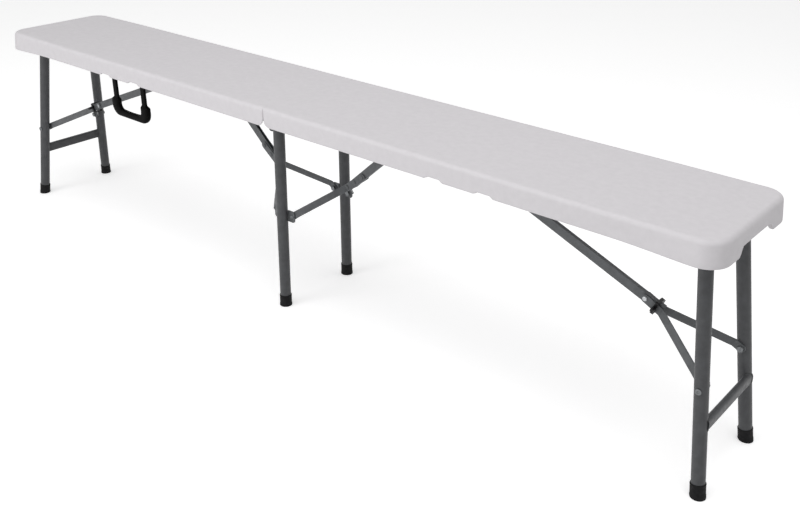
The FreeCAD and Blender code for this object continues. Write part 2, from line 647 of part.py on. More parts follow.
def leg_hangers(side):
    """Plates on the rails that carry the rod of an end leg set."""
    plates = []
    for near_side in (False, True):
        low = Vector(leg_pivot.x - hanger_length / 2, hinge_left_face, leg_pivot_level - hanger_margin)
        plate = Part.makeBox(hanger_length, plate_thickness, leg_pivot_drop + hanger_margin, low)
        corners = [edge for edge in plate.Edges if near(edge.BoundBox.ZMax, low.z)
                   and near(edge.BoundBox.XLength, 0)]
        plate = plate.makeFillet(hanger_margin - 1, corners)
        hole = Part.makeCylinder(rod_hole, plate_thickness + 2,
                                 Vector(leg_pivot.x, low.y - 1, leg_pivot_level), Y_AXIS)
        plate = plate.cut(hole)
        plates.append(plate.mirror(ORIGIN, Y_AXIS) if near_side else plate)
    group("leg_hangers_" + side_name(side), plates, side_place(side))


def pivot_rod(label, middle, place):
    rod = DOC.addObject("Part::Cylinder", label)
    bind(rod, "Radius", "rod_radius")
    bind(rod, "Height", "rod_length")
    turn = Rotation(Z_AXIS, Y_AXIS)
    local = Placement(middle - Y_AXIS * (rod_length / 2), turn)
    node(rod, label, place.multiply(local))


def brace_bracket_shapes(anchor):
    """Two angle plates on the panel, with an ear of each beside the upper link."""
    ear_foot = anchor.z - bracket_margin
    flange_width = bracket_width / 2 - strap_face
    flange = Part.makeBox(bracket_length, flange_width, plate_thickness,
                          Vector(anchor.x - bracket_length / 2, strap_face, panel_level - plate_thickness))
    ear_height = panel_level - plate_thickness / 2 - ear_foot
    ear = Part.makeBox(bracket_ear_length, plate_thickness, ear_height,
                       Vector(anchor.x - bracket_ear_length / 2, strap_face, ear_foot))
    corners = [edge for edge in ear.Edges if near(edge.BoundBox.ZMax, ear_foot)
               and near(edge.BoundBox.XLength, 0)]
    angle = flange.fuse(ear.makeFillet(bracket_margin - 1, corners)).removeSplitter()
    pin = Part.makeCylinder(pin_hole, bracket_width, anchor - Y_AXIS * (bracket_width / 2), Y_AXIS)
    foot = Vector(anchor.x, bracket_screw_pitch / 2, panel_level - plate_thickness - 1)
    angle = angle.cut(pin).cut(Part.makeCylinder(screw_hole, plate_thickness + 2, foot))
    return [angle, angle.mirror(ORIGIN, Y_AXIS)]


def brace_brackets(side):
    shapes = brace_bracket_shapes(end_anchor_point) + brace_bracket_shapes(middle_anchor_point)
    group("brace_brackets_" + side_name(side), shapes, side_place(side))


def pin_shape(middle, half_length_of_pin, head_radius):
    """A headed pin across the seat."""
    shank = Part.makeCylinder(rivet_radius, 2 * half_length_of_pin, middle - Y_AXIS * half_length_of_pin, Y_AXIS)
    heads = []
    for way in (-1, 1):
        foot = middle + Y_AXIS * (way * half_length_of_pin)
        heads.append(rivet_head(foot, Y_AXIS * way, head_radius))
    return shank.fuse(heads).removeSplitter()


def rivet_head(foot, outward, radius):
    """A low domed head."""
    head = Part.makeCylinder(radius, rivet_head_height, foot, outward)
    rim = [edge for edge in head.Edges if abs((edge.BoundBox.Center - foot).dot(outward)
                                             - rivet_head_height) < 0.01 and len(edge.Vertexes) == 1]
    return head.makeFillet(rivet_head_height * 0.8, rim)


def brace_pins(side):
    reach = strap_face + plate_thickness
    anchors = (end_anchor_point, middle_anchor_point)
    pins = [pin_shape(anchor, reach, pin_head_radius) for anchor in anchors]
    group("brace_pins_" + side_name(side), pins, side_place(side))


# Legs


def leg_tube(label, top, foot, holes, place):
    """A round tube from its pivot to its foot, drilled for rods and bolts."""
    direction = (foot - top).normalize()
    head = top - direction * leg_top_reach
    end = foot - direction * (foot_floor + seat_gap)
    length = (end - head).Length
    outer = cylinder(label + "_outer", "tube_radius", length, (head + end) / 2, direction)
    bore = cylinder(label + "_bore", "tube_bore", length + 2, (head + end) / 2, direction)
    tools = [bore]
    for number, hole in enumerate(holes):
        alias, point = hole
        tools.append(cylinder("%s_hole_%d" % (label, number), alias, 2 * tube_diameter, point, Y_AXIS))
    tube = cut(label, outer, tools)
    node(tube, label, place)


def foot_cap_shape(top, foot):
    """A rubber cap on the tube's end, with a tapered collar, cut flat by the floor."""
    direction = (foot - top).normalize()
    turn = Rotation(Z_AXIS, direction * -1)
    inner = tube_radius + foot_fit
    lip = inner + 0.6
    bottom = -foot_floor
    outline = [(0, bottom), (foot_radius - foot_round, bottom), (foot_radius, bottom + foot_round),
               (foot_radius, foot_height - foot_taper), (lip, foot_height), (inner, foot_height),
               (inner, foot_floor), (0, foot_floor)]
    points = [Vector(x, 0, z) for x, z in outline]
    face = Part.Face(Part.makePolygon(points + points[:1]))
    cap = face.revolve(ORIGIN, Z_AXIS, 360)
    cap.Placement = Placement(foot, turn)
    below = Part.makeBox(200, 200, 50, Vector(foot.x - 100, foot.y - 100, -50))
    return cap.cut(below)


def leg_lines(top, foot, top_spacing, foot_spacing):
    """Top and foot of the two legs of a set, far leg first."""
    lines = []
    for way in (1, -1):
        lines.append((Vector(top.x, way * top_spacing / 2, top.z), Vector(foot.x, way * foot_spacing / 2, 0)))
    return lines


def flank(radius, top_spacing, foot_spacing, height):
    """Half the width that a leaning tube takes up beside a round piece of a radius."""
    lean = (foot_spacing - top_spacing) / 2 / height
    return tube_radius * math.sqrt(1 + lean ** 2) + radius * lean + seat_gap


def sleeve_shapes(middle, top_spacing, foot_spacing, outer_limit):
    """Sleeves on a rod: a long one between the legs and a short one outside each."""
    room = flank(sleeve_diameter / 2, top_spacing, foot_spacing, middle.z)
    inner = top_spacing / 2 - room
    outer = top_spacing / 2 + room
    runs = [(-inner, inner), (outer, outer_limit - seat_gap), (-outer_limit + seat_gap, -outer)]
    sleeves = []
    for low, high in runs:
        if high - low < 2 * seat_gap:
            continue
        tube = Part.makeCylinder(sleeve_diameter / 2, high - low, middle + Y_AXIS * low, Y_AXIS)
        bore = Part.makeCylinder(rod_hole, high - low, middle + Y_AXIS * low, Y_AXIS)
        sleeves.append(tube.cut(bore))
    return sleeves


def far_near(way, side):
    """The far leg of the right set is the near leg of the left set, which is turned round."""
    return "far" if way * side > 0 else "near"


def oval_outline(width, height):
    """A rectangle with its corners rounded to almost half its width."""
    x1 = width / 2
    z1 = height / 2
    radius = x1 - 0.2
    return [(-x1, -z1, radius), (x1, -z1, radius), (x1, z1, radius), (-x1, z1, radius)]


def end_leg_set(side):
    place = side_place(side)
    name = side_name(side)
    lines = leg_lines(leg_pivot, foot_place, leg_top_spacing, leg_foot_spacing)
    for way, (top, foot) in zip((1, -1), lines):
        bolt = Vector(bolt_on_leg.x, way * bolt_on_leg.y, bolt_on_leg.z)
        holes = [("rod_hole", top), ("pin_hole", bolt)]
        leg_tube("leg_%s_%s" % (name, far_near(way, side)), top, foot, holes, place)
    caps = [foot_cap_shape(top, foot) for top, foot in lines]
    group("feet_" + name, caps, place)
    group("leg_sleeves_" + name, sleeve_shapes(leg_pivot, leg_top_spacing, leg_foot_spacing, hinge_left_face), place)

    bar_point = leg_point(crossbar_height, leg_top_spacing, leg_foot_spacing, leg_pivot, foot_place)
    bar = new_body("crossbar_" + name)
    ring = new_sketch(bar, "XZ_Plane", 0)
    add_polygon(ring, oval_outline(crossbar_width, crossbar_depth))
    add_polygon(ring, oval_outline(crossbar_width - 2 * tube_wall, crossbar_depth - 2 * tube_wall))
    pad(bar, ring, "crossbar_length", midplane=True)
    outward = Vector(leg_pivot.z, 0, leg_splay).normalize()
    middle = Placement(Vector(bar_point.x, 0, bar_point.z) + outward * crossbar_offset, Rotation())
    node(bar, "crossbar_" + name, place.multiply(middle))

    bolts = []
    for way in (1, -1):
        outward = Y_AXIS * way
        inner = bolt_on_leg.y - tube_radius + seat_gap
        outer = bolt_on_leg.y + flank(bolt_head_radius, leg_top_spacing, leg_foot_spacing, leg_pivot.z)
        axis = Vector(bolt_on_leg.x, 0, bolt_on_leg.z)
        shank = Part.makeCylinder(rivet_radius, outer - inner, axis + outward * inner, outward)
        head = Part.makeCylinder(bolt_head_radius, bolt_head_height, axis + outward * outer, outward)
        bolts.append(shank.fuse(head).removeSplitter())
    group("leg_bolts_" + name, bolts, place)


bar_across = leg_point(crossbar_height, leg_top_spacing, leg_foot_spacing, leg_pivot, foot_place).y
bar_room = flank(crossbar_depth / 2, leg_top_spacing, leg_foot_spacing, leg_pivot.z)
size("crossbar_length", 2 * (bar_across - bar_room), "length of a crossbar")


def middle_leg_set():
    lines = leg_lines(hinge, ORIGIN, middle_top_spacing, middle_foot_spacing)
    for way, (top, foot) in zip((1, -1), lines):
        leg_tube("leg_middle_" + far_near(way, 1), top, foot, [("rod_hole", top)], Placement())
    group("feet_middle", [foot_cap_shape(top, foot) for top, foot in lines], Placement())
    group("leg_sleeves_middle", sleeve_shapes(hinge, middle_top_spacing, middle_foot_spacing, hinge_right_face),
          Placement())
    pivot_rod("middle_pivot_rod", hinge, Placement())

    tabs = []
    bolts = []
    tab_middle = strap_plane_middle + strap_thickness / 2 + strap_gap + tab_thickness / 2
    tab_face = middle_bolt_across - tab_middle - tab_thickness / 2
    for along in (-1, 1):
        for across in (-1, 1):
            x0 = math.sqrt(tube_radius ** 2 - tab_face ** 2) + seat_gap
            x1 = middle_bolt_offset + strap_end_radius
            tab = Part.makeBox(x1 - x0, tab_thickness, tab_height,
                               Vector(x0, tab_middle - tab_thickness / 2, middle_bolt_height - tab_height / 2))
            corners = [edge for edge in tab.Edges if near(edge.BoundBox.XMin, x1)
                       and near(edge.BoundBox.ZLength, 0)]
            tab = tab.makeFillet(5.0, corners)
            axis = Vector(middle_bolt_offset, tab_middle, middle_bolt_height)
            tab = tab.cut(Part.makeCylinder(pin_hole, 10, axis - Y_AXIS * 5, Y_AXIS))
            outer = tab_middle + tab_thickness / 2
            inner = strap_plane_middle - strap_thickness / 2 - strap_gap
            shank = Part.makeCylinder(rivet_radius, outer - inner, Vector(axis.x, inner, axis.z), Y_AXIS)
            head = rivet_head(Vector(axis.x, outer, axis.z), Y_AXIS, rivet_head_radius)
            nut = nut_shape(Vector(axis.x, inner, axis.z), Y_AXIS * -1)
            bolt = shank.fuse([head, nut]).removeSplitter()
            turn = Placement(ORIGIN, Rotation(Z_AXIS, 0 if along > 0 else 180))
            for piece, pieces in ((tab, tabs), (bolt, bolts)):
                if across * along < 0:
                    piece = piece.mirror(ORIGIN, Y_AXIS)
                pieces.append(piece.transformGeometry(turn.toMatrix()))
    group("middle_leg_tabs", tabs, Placement())
    group("middle_leg_bolts", bolts, Placement())


def nut_shape(foot, outward):
    """A hexagon nut standing on a point."""
    turn = Rotation(Z_AXIS, outward)
    corners = []
    for step in range(7):
        angle = math.radians(60 * step)
        corners.append(Vector(nut_radius * math.cos(angle), nut_radius * math.sin(angle), 0))
    prism = Part.Face(Part.makePolygon(corners)).extrude(Z_AXIS * nut_height)
    prism.Placement = Placement(foot, turn)
    return prism


# Straps and links of the braces


def offset_line(points, distance):
    """The corners of a bent line moved sideways, with mitred corners."""
    moved = []
    for number, point in enumerate(points):
        before = points[number - 1] if number > 0 else None
        after = points[number + 1] if number + 1 < len(points) else None
        ways = []
        if before is not None:
            ways.append((point - before).normalize())
        if after is not None:
            ways.append((after - point).normalize())
        normals = [Vector(-way.y, way.x, 0) for way in ways]
        if len(normals) == 1:
            shift = normals[0]
        else:
            middle = (normals[0] + normals[1]).normalize()
            shift = middle * (1 / middle.dot(normals[0]))
        moved.append(point + shift * distance)
    return moved


def strap(label, length_alias, tail, straight, foot_run, foot_across, holes, way, place):
    """A flat bar that runs along the link, spreads to its leg and ends along it."""
    length = SIZE[length_alias]
    path = [Vector(-tail, strap_middle, 0), Vector(straight, strap_middle, 0),
            Vector(length - foot_run, foot_across, 0), Vector(length + strap_end_radius, foot_across, 0)]
    left = offset_line(path, strap_thickness / 2)
    right = offset_line(path, -strap_thickness / 2)
    outline = [(point.x, way * point.y) for point in left + right[::-1]]
    body = new_body(label)
    sketch = new_sketch(body, "XY_Plane")
    add_polygon(sketch, outline)
    bar = pad(body, sketch, "strap_height", midplane=True)
    start = -tail
    end = length + strap_end_radius
    fillet(body, bar, "strap_end_radius", lambda a, b: near(a.x, b.x) and near(a.z, b.z)
           and (near(a.x, start) or near(a.x, end)))
    if holes:
        drill = new_sketch(body, "XZ_Plane")
        for along in holes:
            add_circle(drill, (along, 0), "pin_hole")
        pocket(body, drill)
    node(body, label, place)


def upper_link(label, length_alias, tail, place):
    """A channel folded from sheet, open below, with a pin hole at each end."""
    length = SIZE[length_alias]
    start = -end_radius
    body = new_body(label)
    section = new_sketch(body, "YZ_Plane", start)
    half = link_width / 2
    wall = link_wall
    add_polygon(section, [(-half, -link_half), (-half, link_half), (half, link_half), (half, -link_half),
                          (half - wall, -link_half), (half - wall, link_half - wall),
                          (wall - half, link_half - wall), (wall - half, -link_half)])
    run = body.newObject("PartDesign::Pad", label + "_pad")
    run.Profile = section
    run.Length = length + tail - start
    run.setExpression("Length", "Sizes.%s + Sizes.end_radius + %s" % (length_alias, tail))
    end = length + tail
    fillet(body, run, "link_corner", lambda a, b: near(a.x, b.x) and near(a.z, b.z)
           and near(a.z, -link_half) and (near(a.x, start) or near(a.x, end)))
    drill = new_sketch(body, "XZ_Plane")
    add_circle(drill, (0, 0), "pin_hole")
    add_circle(drill, (length, 0), "pin_hole")
    pocket(body, drill)
    node(body, label, place)


size("link_corner", link_height / 2 - 1.0, "rounding of the lower corners of the upper link")


def ring_shape():
    """A flat ring around link and straps with two ears, in the frame of the upper link."""
    half = ring_half_opening + ring_thickness
    low = -ring_below - ring_thickness
    high = ring_above + ring_thickness
    outer = Part.makeBox(ring_length, 2 * half, high - low, Vector(-ring_length / 2, -half, low))
    edges = [edge for edge in outer.Edges if near(edge.BoundBox.YLength, 0) and near(edge.BoundBox.ZLength, 0)]
    outer = outer.makeFillet(ring_thickness, edges)
    ears = Part.makeBox(ring_length, ring_span, ring_ear, Vector(-ring_length / 2, -ring_span / 2, -ring_ear / 2))
    opening = Part.makeBox(ring_length + 2, 2 * ring_half_opening, ring_above + ring_below,
                           Vector(-ring_length / 2 - 1, -ring_half_opening, -ring_below))
    return outer.fuse(ears).removeSplitter().cut(opening)


def end_brace(side):
    place = side_place(side)
    name = side_name(side)
    link_frame = place.multiply(link_place(end_anchor_point, end_joint))
    strap_frame = place.multiply(link_place(end_joint, end_bolt_point))
    upper_link("end_link_" + name, "end_upper_length", end_link_tail, link_frame)
    foot_across = bolt_on_leg.y - tube_radius - strap_foot_clearance - strap_thickness / 2
    for way in (1, -1):
        label = "end_strap_%s_%s" % (name, far_near(way, side))
        strap(label, "end_lower_length", strap_end_radius, end_strap_straight, end_strap_foot, foot_across,
              [0.0], way, strap_frame)
    joint = pin_shape(Vector(end_upper_length, 0, 0), strap_outside + seat_gap / 2, rivet_head_radius)
    group("end_brace_rivet_" + name, [joint], link_frame)
    nuts = []
    for way in (1, -1):
        foot = Vector(end_lower_length, way * (foot_across - strap_thickness / 2), 0)
        nuts.append(nut_shape(foot, Y_AXIS * -way))
    group("strap_nuts_" + name, nuts, strap_frame)
    ring = DOC.addObject("Part::Feature", "lock_ring_" + name)
    ring.Shape = ring_shape()
    along = Placement(Vector(end_upper_length + ring_place, 0, 0), Rotation())
    node(ring, "lock_ring_" + name, link_frame.multiply(along))


middle_bolt_across = leg_point(middle_bolt_height, middle_top_spacing, middle_foot_spacing, hinge, ORIGIN).y
strap_plane_middle = middle_bolt_across - middle_strap_inset


def middle_brace(side):
    place = side_place(side)
    name = side_name(side)
    link_frame = place.multiply(link_place(middle_anchor_point, middle_joint))
    strap_frame = place.multiply(link_place(middle_joint, middle_bolt_point))
    upper_link("middle_link_" + name, "middle_upper_length", middle_link_tail, link_frame)
    for way in (1, -1):
        label = "middle_strap_%s_%s" % (name, far_near(way, side))
        strap(label, "middle_lower_length", middle_strap_tail, middle_strap_straight, middle_strap_foot,
              strap_plane_middle, [middle_lower_length], way, strap_frame)
    heads = []
    for way in (1, -1):
        for along in (-middle_rivet_pitch, 0.0, middle_rivet_pitch):
            foot = Vector(along, way * strap_outside, 0)
            heads.append(rivet_head(foot, Y_AXIS * way, rivet_head_radius))
    group("middle_strap_rivets_" + name, heads, strap_frame)


# Carry handle


def handle_parts():
    pin_level = panel_level - handle_pin_drop
    place = Placement(Vector(-handle_place, -handle_line, pin_level), Rotation())
    half = grip_width / 2
    top = -handle_drop + grip_height
    inner = half - knuckle_width
    inner_low = -handle_drop + grip_bar
    body = new_body("handle")
    outline = new_sketch(body, "XZ_Plane")
    add_polygon(outline, [(-half, top, knuckle_round), (-half, -handle_drop, grip_corner),
                          (half, -handle_drop, grip_corner), (half, top, knuckle_round),
                          (inner, top, knuckle_round), (inner, inner_low, grip_inner),
                          (-inner, inner_low, grip_inner), (-inner, top, knuckle_round)])
    grip = pad(body, outline, "grip_depth", midplane=True)
    fillet(body, grip, "grip_round", lambda a, b: near(a.y, b.y) and near(abs(a.y), grip_depth / 2))
    necks = []
    holes = []
    for way in (-1, 1):
        across = way * neck_pitch / 2
        necks.append(box("neck_%d" % way, (across - neck_width / 2, -neck_thickness / 2, top - grip_round),
                         (across + neck_width / 2, neck_thickness / 2, 0)))
        necks.append(cylinder("eye_%d" % way, "handle_eye_radius", neck_width, Vector(across, 0, 0), X_AXIS))
        holes.append(cylinder("bore_%d" % way, "handle_hole", 2 * neck_width, Vector(across, 0, 0), X_AXIS))
    whole = fuse("handle_whole", [body] + necks)
    node(cut("carry_handle", whole, holes), "carry_handle", place)

    base = Part.makeBox(handle_plate_length, handle_plate_width, plate_thickness,
                        Vector(-handle_plate_length / 2, -handle_plate_width / 2, handle_pin_drop - plate_thickness))
    lugs = []
    pins = []
    for way in (-1, 1):
        across = way * neck_pitch / 2
        for outward in (-1, 1):
            face = across + outward * (neck_width / 2 + seat_gap)
            low = face if outward > 0 else face - plate_thickness
            lug = Part.makeBox(plate_thickness, handle_plate_width, handle_pin_drop - 1 + handle_eye_radius,
                               Vector(low, -handle_plate_width / 2, -handle_eye_radius))
            lugs.append(lug)
        reach = neck_width / 2 + seat_gap + plate_thickness
        pin = Part.makeCylinder(handle_pin_radius, 2 * reach + 2, Vector(across - reach - 1, 0, 0), X_AXIS)
        pins.append(pin)
    plate = base.fuse(lugs).removeSplitter()
    for way in (-1, 1):
        across = way * neck_pitch / 2
        plate = plate.cut(Part.makeCylinder(handle_hole, 40, Vector(across - 20, 0, 0), X_AXIS))
        hole = Vector(way * handle_screw_pitch / 2, 0, handle_pin_drop - plate_thickness - 1)
        plate = plate.cut(Part.makeCylinder(screw_hole, plate_thickness + 2, hole))
    group("handle_bracket", [plate], place)
    group("handle_pins", pins, place)


def build():
    for side in (-1, 1):
        name = side_name(side)
        seat_half(side)
        side_rails(side)
        seat_screws(side)
        hinge_plates(side)
        leg_hangers(side)
        pivot_rod("leg_pivot_rod_" + name, leg_pivot, side_place(side))
        brace_brackets(side)
        brace_pins(side)
        end_leg_set(side)
        end_brace(side)
        middle_brace(side)
    middle_leg_set()
    handle_parts()


def check_and_write():
    """Stop on any failed feature or bad shape, then write one file for each sub-part."""
    DOC.recompute()
    for thing in DOC.Objects:
        if "Invalid" in thing.State or "Error" in thing.State:
            raise RuntimeError("%s failed: %s" % (thing.Label, thing.State))
    for thing in NODES:
        if thing.Shape.isNull() or not thing.Shape.isValid():
            raise RuntimeError("%s has a bad shape" % thing.Label)
    os.makedirs("parts", exist_ok=True)
    for thing in NODES:
        thing.Shape.exportStep("parts/%s.step" % thing.Label)
    print("sub-parts:", len(NODES))


build()
check_and_write()
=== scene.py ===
import math

import bmesh
import bpy
import numpy as np
from bpy.props import FloatProperty, FloatVectorProperty, IntProperty, PointerProperty, StringProperty
from mathutils import Matrix, Vector


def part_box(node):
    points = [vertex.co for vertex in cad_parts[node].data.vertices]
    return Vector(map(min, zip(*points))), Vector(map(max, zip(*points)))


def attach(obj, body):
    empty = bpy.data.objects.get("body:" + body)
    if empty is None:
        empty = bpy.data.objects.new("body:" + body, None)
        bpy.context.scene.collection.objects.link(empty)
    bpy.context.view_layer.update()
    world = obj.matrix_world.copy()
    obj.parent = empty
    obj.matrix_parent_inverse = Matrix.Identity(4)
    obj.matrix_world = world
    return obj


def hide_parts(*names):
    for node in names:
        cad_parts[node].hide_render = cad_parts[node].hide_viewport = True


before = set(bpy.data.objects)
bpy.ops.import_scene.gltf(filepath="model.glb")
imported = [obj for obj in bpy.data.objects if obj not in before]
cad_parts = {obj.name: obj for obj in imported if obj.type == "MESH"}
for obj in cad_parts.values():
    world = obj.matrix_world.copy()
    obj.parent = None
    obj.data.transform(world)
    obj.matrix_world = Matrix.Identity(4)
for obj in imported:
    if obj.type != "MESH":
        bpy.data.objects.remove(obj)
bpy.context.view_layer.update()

bl_info = {
    "name": "Folding bench",
    "version": (1, 0, 0),
    "blender": (4, 5, 0),
    "location": "View3D > Sidebar > Bench",
    "description": "Dresses the folding bench: moulded seat, grip, foot caps, bolts, finishes and studio",
    "category": "Object",
}

MM = 0.001
SEAT_LOW, SEAT_HIGH = [np.array(corner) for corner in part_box("seat_half_right")]
PIN_LOW, PIN_HIGH = [np.array(corner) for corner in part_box("handle_pins")]


def length(name, description, default):
    """A length setting whose default is given in millimetres."""
    return FloatProperty(name=name, description=description, default=default * MM, unit="LENGTH")


# Settings that a user changes


class BenchSeatSettings(bpy.types.PropertyGroup):
    """Sizes of the moulded seat shell."""

    corner: length("Corner radius", "Plan radius of the outer corners", 38)
    split_corner: length("Split corner radius", "Plan radius of the corners at the split", 3)
    edge: length("Top edge radius", "Rounding of the top edge", 7.5)
    split_edge: length("Split edge radius", "Rounding of the top edge at the split", 0.25)
    split_gap: length("Split gap", "Gap between the two halves", 0.1)
    split_draft: length("Split draft", "How far a half's cut face leans back from top to rim", 0.9)
    flare: length("End flare", "How far the skirt spreads from top to rim, all round the end", 5)
    flare_reach: length("Flare reach", "Length over which the skirt begins to spread", 200)
    wall: length("Skirt wall", "Thickness of the skirt", 8)
    panel: length("Panel", "Thickness of the seat panel", 10)
    rim_round: length("Rim rounding", "Rounding of the skirt's lower edges", 2)
    root_round: length("Root rounding", "Rounding between skirt and panel, inside", 3)
    lip: length("Lip", "Depth of the lip at the split, from the seat surface", 20)
    lip_round: length("Lip rounding", "Rounding of the skirt's lower corner at the split", 14)
    end_drop: length("End drop", "How much deeper the skirt is at the end's corners", 3.5)
    end_reach: length("End reach", "Length over which the skirt deepens", 160)
    arch_width: length("Arch width", "Flat width of the hand arch in the end", 101)
    arch_height: length("Arch height", "Height of the hand arch above the side's rim", 11)
    arch_slope: length("Arch slope", "Width of each sloped end of the arch", 16)
    notch_place: length("Notch place", "Middle of the two notches from the split", 465.5)
    notch_pitch: length("Notch pitch", "Distance between the notches", 103)
    notch_width: length("Notch width", "Width of a notch in the near rim", 32)
    notch_depth: length("Notch depth", "Depth of a notch", 4.5)
    recess_start: length("Recess start", "Start of the recess for the folded braces from the split", 26)
    recess_end: length("Recess end", "End of that recess from the split", 831)
    recess_width: length("Recess width", "Width of that recess", 26)
    recess_depth: length("Recess depth", "Depth of that recess", 6.6)
    dimple_radius: length("Dimple radius", "Mouth radius of a tack-off dimple", 9)
    dimple_depth: length("Dimple depth", "Depth of a tack-off dimple", 4)
    dimple_start: length("First dimple", "First dimple from the split", 60)
    dimple_pitch: length("Dimple pitch", "Distance between dimples", 62)
    dimple_row: length("Dimple rows", "Distance of the dimple rows from the middle", 44)
    dimple_count: IntProperty(name="Dimples", description="Dimples in a row", default=13, min=1)


class BenchGripSettings(bpy.types.PropertyGroup):
    """Sizes of the moulded grip."""

    width: length("Width", "Outer width of the grip", 134)
    drop: length("Drop", "Pin to the lowest point of the grip", 101)
    bar: length("Bar", "Height of the grip bar", 16)
    depth: length("Depth", "Thickness of the grip across the seat", 14)
    knuckle: length("Knuckle", "Width of a knuckle", 27)
    knuckle_top: length("Knuckle top", "Pin to the top of a knuckle's shoulder", 57)
    shoulder: length("Shoulder", "Height of the sloped shoulder of a knuckle", 8)
    corner: length("Outer corner", "Outer corner radius", 25)
    inner_corner: length("Inner corner", "Inner corner radius", 11)
    neck_pitch: length("Neck pitch", "Distance between the two necks", 103)
    neck_width: length("Neck width", "Width of a neck along the seat", 14.5)
    neck_depth: length("Neck thickness", "Thickness of a neck", 6)
    eye: length("Eye radius", "Outer radius of the eye of a neck", 4.2)


class BenchFootSettings(bpy.types.PropertyGroup):
    """Sizes of a foot cap."""

    radius: length("Radius", "Outer radius of the tread", 13.2)
    body: length("Body radius", "Radius of the cap's straight side", 12.7)
    tube: length("Tube radius", "Outer radius of the tube in the cap", 11.6)
    height: length("Height", "Height of the cap along the tube", 25)
    collar: length("Collar", "Height of the rounded collar at the top", 4.5)
    tread: length("Tread", "Rubber below the tube", 5)


class BenchCrossbarSettings(bpy.types.PropertyGroup):
    """Sizes of the flattened crossbars and their welds."""

    tube: length("Leg tube radius", "Outer radius of the leg tubes", 11.5)
    weld: length("Weld", "Width of the weld bead round each end", 2.2)


class BenchBoltSettings(bpy.types.PropertyGroup):
    """Sizes of a leg bolt."""

    head: length("Head radius", "Radius of the head", 5.2)
    crown: length("Crown", "Height of the domed head", 2.6)
    shank: length("Shank radius", "Radius of the shank", 3)
    reach: length("Reach", "Length of the shank, from the underside of the head", 23.5)
    slot: length("Slot width", "Width of a slot of the cross recess", 1.5)
    slot_length: length("Slot length", "Length of a slot of the cross recess", 6)
    slot_depth: length("Slot depth", "Depth of the cross recess", 1.2)


class BenchFinishSettings(bpy.types.PropertyGroup):
    """Colours of the finishes, as sRGB hex."""

    seat: StringProperty(name="Seat", description="Moulded polyethylene of the seat", default="#D2CFD2")
    frame_paint: StringProperty(name="Frame", description="Powder coat of tubes, rails and hangers",
                                default="#434446")
    # The braces' colour is the frame's powder coat painted paler: painted light for the light on their flat
    # faces.
    brace_paint_and_painted_light: StringProperty(name="Braces", description="Powder coat of links, straps and tabs",
                                default="#57595B")
    moulding: StringProperty(name="Grip", description="Moulded polypropylene of the grip", default="#050505")
    rubber: StringProperty(name="Feet", description="Rubber of the foot caps", default="#111112")
    ring: StringProperty(name="Rings", description="Black coated steel of the locking rings",
                         default="#161617")
    zinc: StringProperty(name="Bright fasteners", description="Zinc plate of the end braces' rivets",
                         default="#B4B6B8")
    dull_zinc: StringProperty(name="Dull fasteners", default="#77797B",
                              description="Clouded zinc of bolts, nuts, screws and pins")
    rod: StringProperty(name="Rods", description="Drawn steel of the pivot rods", default="#6E6F70")


class BenchStageSettings(bpy.types.PropertyGroup):
    """Camera and light."""

    camera_place: FloatVectorProperty(name="Camera", description="Place of the camera", size=3,
                                      default=(1.31615, -1.29818, 1.00705), subtype="XYZ", unit="LENGTH")
    yaw: FloatProperty(name="Yaw", description="Turn of the view from +Y towards +X",
                       default=-0.69385, unit="ROTATION")
    pitch: FloatProperty(name="Pitch", description="How far the view looks down",
                         default=0.46854, unit="ROTATION")
    roll: FloatProperty(name="Roll", description="Turn of the picture", default=0.01136, unit="ROTATION")
    focal_length: FloatProperty(name="Focal length", description="In millimetres, on a 36 mm wide sensor",
                                default=42.666, min=1)
    world_level: FloatProperty(name="Ambient", description="Strength of the light from all round",
                               default=0.46)
    key_level: FloatProperty(name="Key", description="Power of the large lamp above, in watts",
                             default=37.0)
    side_level: FloatProperty(name="Side", description="Power of the lamp on the near side, in watts",
                              default=26.0)


# Node and mesh helpers


def linear(hex_colour):
    """An sRGB hex colour as linear red, green, blue and alpha."""
    digits = hex_colour.lstrip("#")
    values = [int(digits[place:place + 2], 16) / 255 for place in (0, 2, 4)]
    return tuple([v / 12.92 if v <= 0.04045 else ((v + 0.055) / 1.055) ** 2.4 for v in values] + [1.0])


def add_node(tree, kind, settings=None, links=None):
    """Add a node, set its fields and unlinked sockets, and link its inputs to other sockets."""
    node = tree.nodes.new(kind)
    for name, value in (settings or {}).items():
        if name in node.inputs:
            node.inputs[name].default_value = value
        else:
            setattr(node, name, value)
    for name, source in (links or {}).items():
        tree.links.new(source, node.inputs[name])
    return node


def new_material(name, shader_settings):
    """A material with one Principled shader, its tree and the shader."""
    material = bpy.data.materials.new(name)
    material.use_nodes = True
    tree = material.node_tree
    tree.nodes.clear()
    shader = add_node(tree, "ShaderNodeBsdfPrincipled", shader_settings)
    add_node(tree, "ShaderNodeOutputMaterial", links={"Surface": shader.outputs["BSDF"]})
    return material, tree, shader


def grain(tree, size_mm, detail=2.0, roughness=0.5):
    """Noise on Object coordinates whose spots are about size_mm across."""
    place = add_node(tree, "ShaderNodeTexCoord")
    settings = {"Scale": 1 / (size_mm * MM), "Detail": detail, "Roughness": roughness}
    return add_node(tree, "ShaderNodeTexNoise", settings, {"Vector": place.outputs["Object"]})


def ramp(tree, source, low, high, colours):
    """A colour ramp between two places of a factor."""
    node = add_node(tree, "ShaderNodeValToRGB", links={"Fac": source})
    node.color_ramp.elements[0].position = low
    node.color_ramp.elements[0].color = colours[0]
    node.color_ramp.elements[1].position = high
    node.color_ramp.elements[1].color = colours[1]
    return node


def shade(colour, factor):
    """A linear colour made darker or lighter by a factor, with alpha 1."""
    return tuple([min(1, channel * factor) for channel in colour[:3]] + [1.0])


